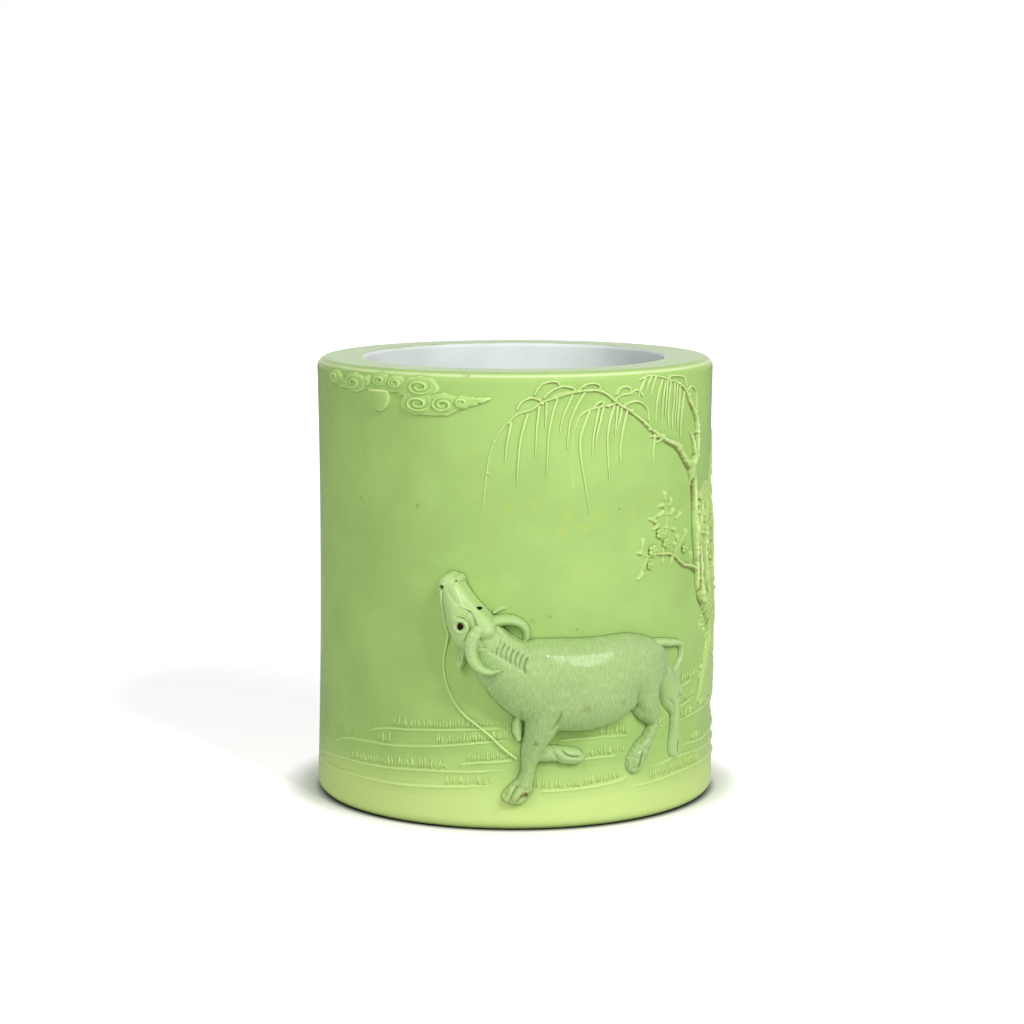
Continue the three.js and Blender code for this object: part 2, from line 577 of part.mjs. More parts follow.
const LEAVES = [
  [[36.6, -0.8], [38.2, 0.6]], [[49.8, 2.4], [50, 3.6]], [[46, 2.6], [46, 3.8]], [[52, 6.9], [51.4, 8]],
  [[53, 8.4], [52.8, 9.8]], [[57, 9.8], [57.2, 10.9]], [[60, 2.6], [60.2, 3.9]], [[38, 8.4], [38.4, 10.2]],
  [[36.4, 6.8], [37.6, 6.6]], [[40.6, 16.2], [43, 15.2]], [[42.6, 13], [44, 14]], [[52, 15.2], [54, 16.4]],
  [[50, 12.4], [51.4, 12]], [[49, 19.2], [49.4, 21]], [[46.9, 21.2], [46.7, 23]], [[44.6, 19.4], [46.2, 19.6]],
  [[44.4, 16.6], [46, 17.6]], [[49.2, 16.6], [50.4, 17.8]],
];

// Grassy banks, measured up from the foot: the line of each crest, and where grass grows along it
const LEFT_BANKS = [
  {
    crest: [[-49, 24], [-44, 26.1], [-38, 27.3], [-30, 27.9], [-20, 28.7], [-10, 29.5], [-1.8, 29.9]],
    grass: [[-36, -10]],
  },
  {
    crest: [
      [-68, 16.4], [-62, 19.6], [-55, 21.6], [-46, 22.3], [-36, 22.6], [-25, 23.6], [-16, 24.7], [-9, 25.7],
      [-1, 26.4],
    ],
    grass: [[-41, -37], [-23, -8]],
  },
  {
    crest: [[-80, 12], [-72, 13.8], [-62, 15], [-50, 15.5], [-38, 15.9], [-25, 16.6], [-12, 17.2], [-1, 18.3]],
    grass: [[-53, -20]],
  },
  { crest: [[-16.4, 18.7], [-12, 19.7], [-6, 20.2], [0, 20.8]], grass: [[-12, -2]] },
  {
    crest: [
      [-88, 9], [-76, 10.6], [-64, 11], [-50, 11.4], [-35, 11.5], [-22, 12.2], [-12, 13], [-5, 13.2],
    ],
    grass: [[-19, -7]],
  },
];
const MIDDLE_BANKS = [
  { crest: [[10.6, 26.2], [20, 26.4], [27, 26.3], [34, 25.8]], grass: [[24, 32]] },
  { crest: [[18.6, 20.4], [24, 20.6], [29.6, 20.4]], grass: [[19.5, 29]] },
  { crest: [[5.4, 11.8], [12, 11.8], [20, 12.1], [28, 12.8], [34, 14.2]], grass: [[7, 30]] },
];
const RIGHT_BANKS = [
  { crest: [[52.6, 36.8], [57, 37.2], [61, 38]], grass: [[54, 60]] },
  { crest: [[51.8, 30.8], [56, 31.4], [61, 32.4]], grass: [[53, 60]] },
  {
    crest: [[52.4, 26.4], [58, 27.4], [66, 27.8], [76, 28.4], [88, 29.4], [100, 29.6], [112, 27]],
    grass: [[54, 60], [68, 74]],
  },
  {
    crest: [[51.6, 19.2], [58, 19.4], [66, 18.9], [76, 19.6], [90, 20.6], [104, 20.4], [120, 17.6]],
    grass: [[56, 64]],
  },
  {
    crest: [[37.6, 15.9], [44, 15.7], [50, 16.6], [58, 16.6], [68, 16], [80, 16.2], [94, 15.6], [106, 13.4]],
    grass: [],
  },
  {
    crest: [[30, 10.7], [38, 11], [48, 11.7], [60, 12.3], [74, 12], [88, 11.6], [102, 10.6], [116, 9]],
    grass: [[40, 62]],
  },
];
const MOUND = [
  [63.6, 31, 2, 1.6], [66.2, 36.4, 3.4, 2.4], [70.4, 41.2, 4.4, 2.6], [75.4, 46.4, 4.2, 2.6],
  [79, 51.6, 2.6, 2.2],
];
const BACK_MOUND = [
  [90, 48, 2.4, 2], [94, 43, 3.6, 2.4], [99, 38, 3.6, 2.2], [105, 33.6, 2, 1.4],
];

// Clouds: lobes as [girth, drop, half width, half height]. Lobes that wind carry a scroll line
const LEFT_CLOUD = { lobes: [[-60.8, 3.8, 4.8, 2.1], [-50.4, 4.5, 6.6, 2.7]], scrolls: 2 };
const MIDDLE_CLOUD = {
  lobes: [[-39.8, 3.9, 4.4, 2.3], [-33.6, 3.9, 4, 2.4], [-26.4, 3.9, 4.6, 2.7], [-40, 5.4, 6.4, 1.1]],
  scrolls: 3,
};
const LOWER_CLOUD = {
  lobes: [[-28, 9, 5.4, 2.9], [-19.6, 9, 5.6, 2.9], [-13, 7.7, 3.4, 1.5], [-9.6, 7.5, 2.4, 0.8], [-23.4, 10.6, 6, 1.5]],
  scrolls: 3,
};
const MOON_PLACE = [-40.8, 7.6];

function cloud({ lobes, scrolls }) {
  const placed = fromRim(lobes);
  return (grow) => offWall(join([
    ...placed.map((shape) => lobe(shape, CLOUD_HEIGHT, grow)),
    ...placed.slice(0, scrolls).map((shape) => scroll(shape, grow)),
  ]), grow);
}

function moon(grow) {
  const [[girth, z]] = fromRim([MOON_PLACE]);
  return offWall(lobe([girth, z, MOON_RADIUS, MOON_RADIUS], MOON_HEIGHT, grow), grow);
}

// The lift of one strand among several that meet, so that no two backs lie in one plane
function strandLift(index) {
  return STRAND_STEP * (1 + (index % 4));
}

// Adds one width and one height above its own back to a list of bare places, tapering to the last
function bead(places, width, height, lift) {
  const last = places.length - 1;
  return places.map(([girth, z], i) => {
    const taper = 1 - 0.55 * (i / last);
    return [girth, z, width * taper, LUTE_GAP + lift + height * taper, lift];
  });
}

function eye([girth, z, lift], radius) {
  return (grow) => {
    const ball = new THREE.SphereGeometry(radius + grow, 10, 6);
    const spot = chartPoint(girth, z, lift);
    ball.translate(spot.x, spot.y, spot.z);
    return toSolid(ball);
  };
}

function blossom([girth, z], grow) {
  const petals = Array.from({ length: PETALS }, (_, i) => {
    const turn = (2 * Math.PI * i) / PETALS + Math.PI / 2;
    const heart = 0.35 * PETAL_LENGTH;
    const tip = 1.6 * PETAL_LENGTH;
    const step = strandLift(i);
    return sweep([
      [girth + heart * Math.cos(turn), z + heart * Math.sin(turn), PETAL_WIDTH * 0.6, BLOSSOM_HEIGHT * 0.9, step],
      [girth + tip * Math.cos(turn), z + tip * Math.sin(turn), PETAL_WIDTH, BLOSSOM_HEIGHT, step],
    ], grow, THREAD);
  });
  const button = sweep([
    [girth - 0.3, z, 0.7, BLOSSOM_HEIGHT * 1.3],
    [girth + 0.3, z, 0.7, BLOSSOM_HEIGHT * 1.3],
  ], grow, THREAD);
  return join([...petals, button]);
}

// A bough of the willow with the loops of young twig above it and the fronds that hang from it
function bough(limbs, loops, fronds) {
  const wood = limbs.map(fromRim);
  const twigs = loops.map((loop, i) => bead(fromRim(loop), LOOP_WIDTH, FROND_HEIGHT, strandLift(i)));
  const hanging = fronds.map((frond, i) => bead(fromRim(frond), FROND_WIDTH, FROND_HEIGHT, strandLift(i + 1)));
  return (grow) => join([
    ...wood.map((limb) => sweep(limb, grow, BOUGH)),
    ...[...twigs, ...hanging].map((strand) => sweep(strand, grow, THREAD)),
  ]);
}

// The prunus: its wood, and leaves on short stalks that start from the nearest wood
function prunus(grow) {
  const wood = [fromBough(PRUNUS_BRANCH), fromBough(PRUNUS_SPRIG)];
  const leaves = LEAVES.map((places, i) => {
    const lift = strandLift(i);
    const back = LUTE_GAP + lift;
    const [[girth, z], tip] = fromBough(places);
    const [[rootGirth, rootZ]] = wood.flat().sort(
      (a, b) => Math.hypot(a[0] - girth, a[1] - z) - Math.hypot(b[0] - girth, b[1] - z),
    );
    return [
      [rootGirth, rootZ, STALK_WIDTH, back + BUD_HEIGHT * 0.7, lift],
      [girth, z, STALK_WIDTH, back + BUD_HEIGHT * 0.7, lift],
      [tip[0], tip[1], BUD_WIDTH, back + BUD_HEIGHT, lift],
    ];
  });
  return join([...wood, ...leaves].map((form) => sweep(form, grow, THREAD)));
}

// A bank is a low terrace: its crest stands proud and it runs out down the slope below
function bank(crest) {
  const last = crest.length - 1;
  return crest.map(([girth, z], i) => {
    const size = i === 0 || i === last ? 0.5 : 1;
    return [girth, z - BANK_WIDTH, BANK_WIDTH * size, BANK_HEIGHT * size + LUTE_GAP];
  });
}

// Height of a bank's crest at a girth position
function crestAt(crest, girth) {
  const index = Math.max(1, crest.findIndex(([place]) => place >= girth));
  const [[fromGirth, fromZ], [toGirth, toZ]] = [crest[index - 1], crest[index]];
  return THREE.MathUtils.mapLinear(girth, fromGirth, toGirth, fromZ, toZ);
}

// A row of blades: a strip whose upper edge rises to a blade's tip and falls back at every pitch
function grassRow(crest, from, to, grow) {
  const blades = Math.round((to - from) / GRASS_PITCH);
  const points = [];
  const steps = blades * 2;
  const back = LUTE_GAP + STRAND_STEP - grow;
  for (let i = 0; i <= steps; i += 1) {
    const girth = THREE.MathUtils.lerp(from, to, i / steps);
    const root = crestAt(crest, girth) - GRASS_ROOT;
    const sway = 0.75 + 0.25 * Math.sin(i * 2.4);
    const rise = GRASS_ROOT + grow + (i % 2 === 1 ? GRASS_HEIGHT * sway : 0);
    points.push(chartPoint(girth, root, back));
    points.push(chartPoint(girth, root + rise, back));
    points.push(chartPoint(girth, root + rise, LUTE_GAP + GRASS_TIP + grow));
    points.push(chartPoint(girth, root, LUTE_GAP + GRASS_DEPTH + grow));
  }
  const ends = [points.slice(0, 4), points.slice(-4)].map(
    (corners) => corners.reduce((sum, corner) => sum.add(corner), new THREE.Vector3()).divideScalar(4),
  );
  return loft(points, ends, 4);
}

place('pot_wall', glaze.green, toGeometry(potWall()));
place('base_slab', glaze.biscuit, toGeometry(baseSlab()));

lay('buffalo_body', glaze.buffalo, sweeps([BODY], MODELLED));
lay('near_foreleg', glaze.buffalo, sweeps([NEAR_FORELEG], LIMB));
lay('near_hind_leg', glaze.buffalo, sweeps([NEAR_HIND_LEG], LIMB));
lay('buffalo_neck', glaze.buffalo, sweeps([NECK], MODELLED));
lay('buffalo_head', glaze.buffalo, sweeps([HEAD], MODELLED));
lay('near_horn', glaze.buffalo, sweeps([NEAR_HORN], LIMB));
lay('far_horn', glaze.buffalo, sweeps([FAR_HORN], LIMB));
lay('near_eye', glaze.eye, eye(NEAR_EYE, EYE_RADIUS));
lay('far_eye', glaze.eye, eye(FAR_EYE, FAR_EYE_RADIUS));
lay('near_ear', glaze.buffalo, sweeps([NEAR_EAR], LIMB));
lay('far_ear', glaze.buffalo, sweeps([FAR_EAR], STRAND));
lay('far_knee', glaze.buffalo, sweeps([FAR_KNEE], STRAND));
lay('far_forearm', glaze.buffalo, sweeps([FAR_FOREARM], STRAND));
lay('far_hind_leg', glaze.buffalo, sweeps([FAR_HIND_LEG], BOUGH));
lay('buffalo_tail', glaze.buffalo, sweeps([TAIL], BOUGH));
lay('rump_fold', glaze.buffalo, sweeps([RUMP_FOLD], STRAND));

lay('willow_trunk', glaze.relief, sweeps([
  TRUNK_FOOT,
  ...[...TRUNK_FLUTES, ...TRUNK_KNOTS, ...CROWN_TUFT].map(fromBough),
], STOUT));
lay('willow_left_stem', glaze.relief, sweeps([LEFT_STEM], BOUGH));
lay('willow_left_bough', glaze.relief, bough([LEFT_LIMB, UPPER_LIMB, ...LEFT_THORNS], LEFT_LOOPS, LEFT_FRONDS));
lay('willow_right_bough', glaze.relief, bough([RIGHT_LIMB, RIGHT_THORN], RIGHT_LOOPS, RIGHT_FRONDS));
lay('willow_back_bough', glaze.relief, bough([BACK_LIMB], [], BACK_FRONDS));

lay('prunus_bough', glaze.relief, prunus);
fromBough(BLOSSOMS).forEach((spot, i) => {
  lay(`prunus_blossom_${i + 1}`, glaze.relief, (grow) => blossom(spot, grow));
});

lay('tree_mound', glaze.relief, sweeps([MOUND], STOUT));
lay('back_mound', glaze.relief, sweeps([BACK_MOUND], STOUT));
Object.entries({ left: LEFT_BANKS, middle: MIDDLE_BANKS, right: RIGHT_BANKS }).forEach(([side, banks]) => {
  banks.forEach(({ crest, grass }, i) => {
    lay(`${side}_bank_${i + 1}`, glaze.green, (grow) => join([
      sweep(bank(crest), grow, SHELF),
      ...grass.map(([from, to]) => grassRow(crest, from, to, grow)),
    ]));
  });
});
lay('tether_rope', glaze.relief, sweeps([ROPE], ROPE_FORM));

lay('cloud_left', glaze.relief, cloud(LEFT_CLOUD));
lay('cloud_middle', glaze.relief, cloud(MIDDLE_CLOUD));
lay('cloud_lower', glaze.relief, cloud(LOWER_CLOUD));
lay('moon_disc', glaze.relief, moon);

export default group;
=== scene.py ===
"""Dresses the lime-green enamelled porcelain brush pot: its thrown wall and its moulded relief.

Places on the wall are given as girth and height in millimetres. Girth is measured on a circle of
CHART_RADIUS, where a millimetre is a degree, from the front of the pot towards its right side.
"""

import logging
import math
from collections.abc import Callable
from dataclasses import dataclass
from enum import Enum
from functools import cache

import bmesh
import bpy
import numpy as np
from mathutils import Matrix


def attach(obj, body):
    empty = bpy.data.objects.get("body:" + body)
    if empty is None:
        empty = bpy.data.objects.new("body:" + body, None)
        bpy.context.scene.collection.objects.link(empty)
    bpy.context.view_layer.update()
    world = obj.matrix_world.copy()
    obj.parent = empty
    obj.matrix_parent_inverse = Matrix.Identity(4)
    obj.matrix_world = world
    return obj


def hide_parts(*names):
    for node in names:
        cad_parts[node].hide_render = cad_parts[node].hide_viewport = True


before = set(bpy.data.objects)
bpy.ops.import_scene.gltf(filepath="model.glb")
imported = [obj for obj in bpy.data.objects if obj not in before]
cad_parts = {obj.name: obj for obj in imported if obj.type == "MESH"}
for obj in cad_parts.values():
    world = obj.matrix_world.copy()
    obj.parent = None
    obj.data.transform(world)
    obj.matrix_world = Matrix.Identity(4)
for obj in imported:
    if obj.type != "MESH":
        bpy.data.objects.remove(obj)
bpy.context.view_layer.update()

LOG = logging.getLogger("brush_pot")
MM = 0.001

# Sizes in millimetres
POT_HEIGHT = 130.0
RIM_RADIUS = 58.8
WAIST_DRAW_IN = 0.45
FOOT_FLARE = 0.9
WALL_THICKNESS = 14.5
RIM_ROUND = 3.0
MOUTH_ROUND = 1.2
FOOT_ROUND = 3.2
FLOOR_THICKNESS = 9.0
FLOOR_COVE = 3.0
SLAB_REBATE = 3.5
LUTE_GAP = 0.3
INNER_RADIUS = RIM_RADIUS - WALL_THICKNESS
CHART_RADIUS = RIM_RADIUS - 1.5
BOUGH_LEVEL = 71.0

# Relief lower than the first isn't made, lower than the second isn't cut, lower than the third isn't worked
LEAST_RELIEF = 0.03
LEAST_CUT = 0.05
LEAST_WORKED = 0.2
# How far the front of a relief is let into the wall, and how far its back is
EDGE_SUNK = 0.14
BACK_SUNK = 0.9
# Steps along a modelled form and along a thin line
FORM_STEP = 0.35
LINE_STEP = 0.8

GLAZE_IOR = 1.3
# Depths of the glaze's ripple and of the strokes of hair, in metres
RIPPLE_DEPTH = 0.0004
STROKE_DEPTH = 0.00025

Colour = tuple[float, ...]
Places = list[tuple[float, ...]]
Socket = bpy.types.NodeSocket


class Slot(Enum):
    """The record's material slots."""

    GREEN = "green_glaze"
    RELIEF = "relief_glaze"
    BUFFALO = "buffalo_glaze"
    WHITE = "white_glaze"
    EYE = "eye_enamel"


def linear(colour: Colour) -> Colour:
    """Turns a screen colour, its channels from 0 to 255, into an opaque linear one."""
    shares = [channel / 255 for channel in colour]
    return (*[c / 12.92 if c <= 0.04045 else ((c + 0.055) / 1.055) ** 2.4 for c in shares], 1.0)


def wall_radius(z: np.ndarray | float) -> np.ndarray:
    """Gives the radius of the outer wall at heights, all in millimetres."""
    level = np.clip(z, 0.0, POT_HEIGHT)
    share = level / POT_HEIGHT
    foot = (RIM_RADIUS + FOOT_FLARE) * (1 - share) * (1 - 2 * share)
    waist = (RIM_RADIUS - WAIST_DRAW_IN) * 4 * share * (1 - share)
    radius = foot + waist + RIM_RADIUS * share * (2 * share - 1)
    over_rim = np.maximum(0.0, level - (POT_HEIGHT - RIM_ROUND))
    under_foot = np.maximum(0.0, FOOT_ROUND - level)
    radius = radius - (RIM_ROUND - np.sqrt(RIM_ROUND**2 - over_rim**2))
    return radius - (FOOT_ROUND - np.sqrt(FOOT_ROUND**2 - under_foot**2))


def wall_points(girth: np.ndarray, z: np.ndarray, off: np.ndarray | float) -> np.ndarray:
    """Gives points on or off the wall.

    Args:
        girth: Girth places in millimetres.
        z: Heights in millimetres.
        off: How far the points stand off the wall, in millimetres.

    Returns:
        An array of points in metres, one row each.
    """
    angle = np.asarray(girth, float) / CHART_RADIUS
    radius = wall_radius(z) + off
    return np.stack([radius * np.sin(angle), -radius * np.cos(angle), z + 0 * radius], -1) * MM


def from_bough(stations: Places) -> Places:
    """Measures stations up from the level of the lowest bough."""
    return [(g, BOUGH_LEVEL + rise, *rest) for g, rise, *rest in stations]


def tapered(places: Places, first: tuple[float, float], last: tuple[float, float]) -> Places:
    """Makes stations of places, with half width and height run evenly, in hundredths of a millimetre."""
    sizes = np.round(np.linspace(first, last, len(places)), 2)
    return [(*place, *size) for place, size in zip(places, sizes)]


def smooth_path(places: Places, step: float) -> np.ndarray:
    """Runs a smooth line through places, with their other values spread evenly between them.

    Args:
        places: Places, each with the same number of values.
        step: Length of a step along the line, in millimetres.

    Returns:
        One row of values for each step.
    """
    knots = np.array(places, float)
    padded = np.vstack([2 * knots[0] - knots[1], knots, 2 * knots[-1] - knots[-2]])
    rows = []
    for i in range(len(knots) - 1):
        a, b, c, d = padded[i : i + 4]
        count = max(2, int(np.hypot(*(c - b)[:2]) / step) + 1)
        t = np.linspace(0, 1, count, endpoint=False)[:, None]
        bend = (2 * a - 5 * b + 4 * c - d) * t**2 + (3 * b - a - 3 * c + d) * t**3
        curve = 0.5 * (2 * b + (c - a) * t + bend)
        straight = b + (c - b) * t
        rows.append(np.hstack([curve[:, :2], straight[:, 2:]]))
    return np.vstack([*rows, knots[-1:]])


def blurred(values: np.ndarray, sigma: tuple[float, float]) -> np.ndarray:
    """Softens a grid, with the spread along each axis in cells."""
    margin = int(3 * max(sigma)) + 2
    padded = np.pad(values, margin, mode="edge")
    along = np.fft.fftfreq(padded.shape[0])[:, None]
    across = np.fft.rfftfreq(padded.shape[1])[None, :]
    keep = np.exp(-2 * np.pi**2 * ((sigma[0] * along) ** 2 + (sigma[1] * across) ** 2))
    soft = np.fft.irfft2(np.fft.rfft2(padded) * keep, s=padded.shape)
    return soft[margin:-margin, margin:-margin]


def of_type(sockets: list[Socket], kind: str) -> list[Socket]:
    """Picks the sockets that carry one type of value."""
    return [socket for socket in sockets if socket.type == kind]


class Nodes:
    """Short ways to add nodes to one tree."""

    def __init__(self, tree: bpy.types.NodeTree) -> None:
        """Keeps the tree that the nodes go into."""
        self.tree = tree

    def plug(self, socket: Socket, value: object) -> None:
        """Links an output to a socket, or sets the socket's own value."""
        if isinstance(value, Socket):
            self.tree.links.new(value, socket)
        else:
            socket.default_value = value

    def add(self, kind: str, operation: str = "", values: tuple = (), **inputs: object) -> bpy.types.Node:
        """Adds a node.

        Args:
            kind: The node's type.
            operation: Its operation, where it has one.
            values: Values or outputs for its first sockets, in order.
            inputs: Values or outputs by socket name, or a property of the node.

        Returns:
            The node.
        """
        node = self.tree.nodes.new(kind)
        if operation:
            node.operation = operation
        for socket, value in zip(node.inputs, values):
            self.plug(socket, value)
        for name, value in inputs.items():
            title = name.replace("_", " ")
            if title in node.inputs:
                self.plug(node.inputs[title], value)
            else:
                setattr(node, name, value)
        return node

    def maths(self, operation: str, *values: object) -> Socket:
        """Adds a sum and gives its result."""
        return self.add("ShaderNodeMath", operation, values).outputs[0]

    def noise(self, place: Socket, scale: float, detail: float, rough: float) -> Socket:
        """Adds a noise pattern and gives its strength."""
        node = self.add("ShaderNodeTexNoise", Vector=place, Scale=scale, Detail=detail, Roughness=rough)
        return node.outputs["Fac"]

    def attribute(self, name: str, output: str = "Fac") -> Socket:
        """Adds a look at one of the mesh's attributes."""
        return self.add("ShaderNodeAttribute", attribute_name=name).outputs[output]

    def named(self, name: str) -> Socket:
        """Adds a look at one of the points' attributes, in Geometry Nodes."""
        node = self.add("GeometryNodeInputNamedAttribute", data_type="FLOAT", Name=name)
        return of_type(node.outputs, "VALUE")[0]

    def band(self, value: Socket, start: float, end: float) -> Socket:
        """Rises smoothly from 0 at start to 1 at end."""
        rising = start < end
        node = self.add("ShaderNodeMapRange", interpolation_type="SMOOTHSTEP", Value=value)
        node.inputs["From Min"].default_value = min(start, end)
        node.inputs["From Max"].default_value = max(start, end)
        node.inputs["To Min"].default_value = float(not rising)
        node.inputs["To Max"].default_value = float(rising)
        return node.outputs["Result"]

    def mix(self, share: Socket, first: Socket | Colour, second: Socket | Colour) -> Socket:
        """Mixes two colours, each an output or a screen colour."""
        node = self.add("ShaderNodeMix", data_type="RGBA", Factor=share)
        for socket, colour in zip(of_type(node.inputs, "RGBA"), (first, second)):
            self.plug(socket, colour if isinstance(colour, Socket) else linear(colour))
        return of_type(node.outputs, "RGBA")[0]


@dataclass(frozen=True)
class Finish:
    """One fired glaze, enamel or bare biscuit.

    Attributes:
        name: The material's name.
        slot: The record's slot that its pieces take their finish from. It is not used.
        base: Colour where the coat has its usual thickness.
        thin: Colour where it thins over a high edge.
        pooled: Colour where it pools in a recess.
        foot: Colour low on the pot.
        roughness: How dull the surface is.
        hair: Depth of the incised coat of hair, from 0 to 1.
        lines: Depth of throwing lines and ripple.
        inside: Colour of the white glaze inside the mouth, if any.
        gloss: How strongly it mirrors.
        coat: How thick a smooth glaze lies over the modelling.
    """

    name: str
    slot: Slot
    base: Colour
    thin: Colour
    pooled: Colour
    foot: Colour
    roughness: float = 0.2
    hair: float = 0.0
    lines: float = 0.15
    inside: Colour | None = None
    gloss: float = 0.07
    coat: float = 0.0

    @cache
    def material(self) -> bpy.types.Material:
        """Builds the material, once."""
        made = bpy.data.materials.new(self.name)
        made.use_nodes = True
        kit = Nodes(made.node_tree)
        place = kit.add("ShaderNodeTexCoord").outputs["Object"]
        height = kit.add("ShaderNodeSeparateXYZ", Vector=place).outputs["Z"]
        settings = {
            "Base Color": self._colour(kit, place, height),
            "Roughness": self.roughness,
            "IOR": GLAZE_IOR,
            "Specular IOR Level": self.gloss,
            "Coat Weight": self.coat,
            "Coat Roughness": 0.07,
            "Coat IOR": GLAZE_IOR,
            "Normal": self._normal(kit, place, height),
        }
        shader = made.node_tree.nodes["Principled BSDF"]
        for name, value in settings.items():
            kit.plug(shader.inputs[name], value)
        return made

    def _colour(self, kit: Nodes, place: Socket, height: Socket) -> Socket:
        """Builds the colour: patchy, paler at the foot and on high edges, darker in recesses, and specked.

        Args:
            kit: The node maker.
            place: Object coordinates.
            height: Height above the foot.

        Returns:
            The colour.
        """
        patchy = kit.band(kit.noise(place, 45.0, 4.0, 0.6), 0.35, 0.65)
        colour = kit.mix(patchy, self.base, tuple(channel * 0.955 for channel in self.base))
        wander = kit.maths("MULTIPLY_ADD", kit.noise(place, 30.0, 2.0, 0.5), 0.01, -0.005)
        colour = kit.mix(kit.band(kit.maths("ADD", height, wander), 0.022, 0.006), colour, self.foot)
        thin = kit.attribute("thin")
        colour = kit.mix(kit.band(thin, 0.02, 0.4), colour, self.thin)
        colour = kit.mix(kit.band(thin, -0.02, -0.35), colour, self.pooled)
        if self.hair > 0:
            colour = kit.mix(kit.maths("MULTIPLY", self._strokes(kit), 0.26), colour, self.pooled)
        colour = kit.mix(kit.attribute("stain"), colour, (192, 197, 78))
        grainy = kit.band(kit.noise(place, 700.0, 2.0, 0.6), 0.36, 0.54)
        colour = kit.mix(kit.maths("MULTIPLY", kit.attribute("iron"), grainy), colour, (104, 62, 30))
        speck = kit.add("ShaderNodeTexVoronoi", Vector=place, Scale=170.0).outputs
        dot = kit.band(speck["Distance"], 0.075, 0.045)
        lot = kit.add("ShaderNodeSeparateXYZ", Vector=speck["Color"]).outputs["X"]
        chosen = kit.maths("MULTIPLY", dot, kit.band(lot, 0.93, 0.95))
        colour = kit.mix(kit.maths("MULTIPLY", chosen, 0.5), colour, (96, 100, 48))
        return colour if self.inside is None else self._mouth(kit, place, height, colour)

    def _mouth(self, kit: Nodes, place: Socket, height: Socket, colour: Socket) -> Socket:
        """Turns the glaze white inside the mouth, with painted shade that greys it towards the floor inside.

        Args:
            kit: The node maker.
            place: Object coordinates.
            height: Height above the foot.
            colour: The colour outside.

        Returns:
            The colour in and out.
        """
        flat = kit.add("ShaderNodeVectorMath", "MULTIPLY", (place, (1.0, 1.0, 0.0)))
        radius = kit.add("ShaderNodeVectorMath", "LENGTH", (flat.outputs[0],)).outputs["Value"]
        uneven = kit.maths("MULTIPLY_ADD", kit.noise(place, 90.0, 2.0, 0.5), 0.0009, radius)
        mouth = INNER_RADIUS * MM
        cloudy = kit.band(kit.noise(place, 22.0, 3.0, 0.5), 0.4, 0.62)
        white = kit.mix(cloudy, self.inside, (212, 220, 216))
        dirt = kit.maths("MULTIPLY", kit.band(kit.noise(place, 260.0, 4.0, 0.7), 0.69, 0.76), 0.55)
        white = kit.mix(dirt, white, (120, 104, 78))
        # Painted shade: the white turns grey towards the floor inside the pot, where less light falls.
        deep = kit.maths("MULTIPLY", kit.band(height, 0.06, 0.01), 0.35)
        white = kit.mix(deep, white, (150, 158, 150))
        return kit.mix(kit.band(uneven, mouth + 0.0016, mouth + 0.0009), colour, white)

    def _strokes(self, kit: Nodes) -> Socket:
        """Makes the fine strokes of the coat, laid along the attribute that says which way hair runs."""
        return kit.band(kit.noise(kit.attribute("hair", "Vector"), 1.0, 1.0, 0.5), 0.4, 0.62)

    def _normal(self, kit: Nodes, place: Socket, height: Socket) -> Socket:
        """Adds ripple, throwing lines and strokes of hair to the surface.

        Args:
            kit: The node maker.
            place: Object coordinates.
            height: Height above the foot.

        Returns:
            The normal.
        """
        ripple = kit.noise(place, 320.0, 2.0, 0.5)
        rings = kit.add("ShaderNodeTexNoise", noise_dimensions="1D", W=height, Scale=240.0).outputs["Fac"]
        surface = kit.maths("MULTIPLY_ADD", rings, self.lines, ripple)
        bump = kit.add("ShaderNodeBump", Strength=0.16, Distance=RIPPLE_DEPTH, Height=surface)
        if self.hair > 0:
            groove = kit.maths("SUBTRACT", 1.0, self._strokes(kit))
            skin = bump.outputs["Normal"]
            bump = kit.add(
                "ShaderNodeBump", Strength=self.hair, Distance=STROKE_DEPTH, Height=groove, Normal=skin
            )
        return bump.outputs["Normal"]


class Palette:
    """The pot's finishes, each with its colour where usual, thin and pooled, and at the foot."""

    wall = Finish(
        "lime_glaze", Slot.GREEN,
        (165, 198, 115), (224, 238, 182), (122, 162, 76), (194, 216, 134), 0.16, inside=(228, 234, 231),
    )
    bank = Finish(
        "lime_glaze_on_banks", Slot.GREEN, wall.base, (208, 229, 150), (140, 176, 88), wall.foot, 0.18,
    )
    relief = Finish(
        "lime_glaze_on_relief", Slot.RELIEF,
        (176, 204, 124), (220, 234, 168), (104, 122, 54), (196, 220, 124), 0.18,
    )
    frond = Finish(
        "lime_glaze_on_fronds", Slot.RELIEF,
        (200, 222, 148), (224, 238, 172), (150, 176, 90), (206, 226, 146),
    )
    blade = Finish(
        "lime_glaze_on_grass", Slot.RELIEF,
        (204, 226, 148), frond.thin, (170, 200, 110), (208, 229, 146),
    )
    cloud = Finish(
        "lime_glaze_on_clouds", Slot.RELIEF,
        (168, 202, 118), (214, 234, 164), (132, 170, 84), (190, 214, 118), 0.18,
    )
    coat = Finish(
        "celadon_tinted_coat", Slot.BUFFALO,
        (168, 197, 128), (212, 228, 158), (112, 140, 80), (182, 206, 126),
        0.12, hair=0.45, lines=0.0, gloss=0.2, coat=0.5,
    )
    hide = Finish(
        "celadon_tinted_hide", Slot.BUFFALO,
        (170, 199, 130), (214, 230, 168), (92, 118, 60), (184, 208, 128), 0.12, gloss=0.2, coat=0.5,
    )
    biscuit = Finish(
        "bare_biscuit", Slot.WHITE,
        (226, 219, 200), (236, 231, 216), (196, 182, 156), (226, 219, 200), 0.7, lines=0.8,
    )
    enamel = Finish(
        "brown_black_enamel", Slot.EYE, (34, 20, 14), (60, 36, 24), (16, 9, 7), (34, 20, 14), 0.08,
    )


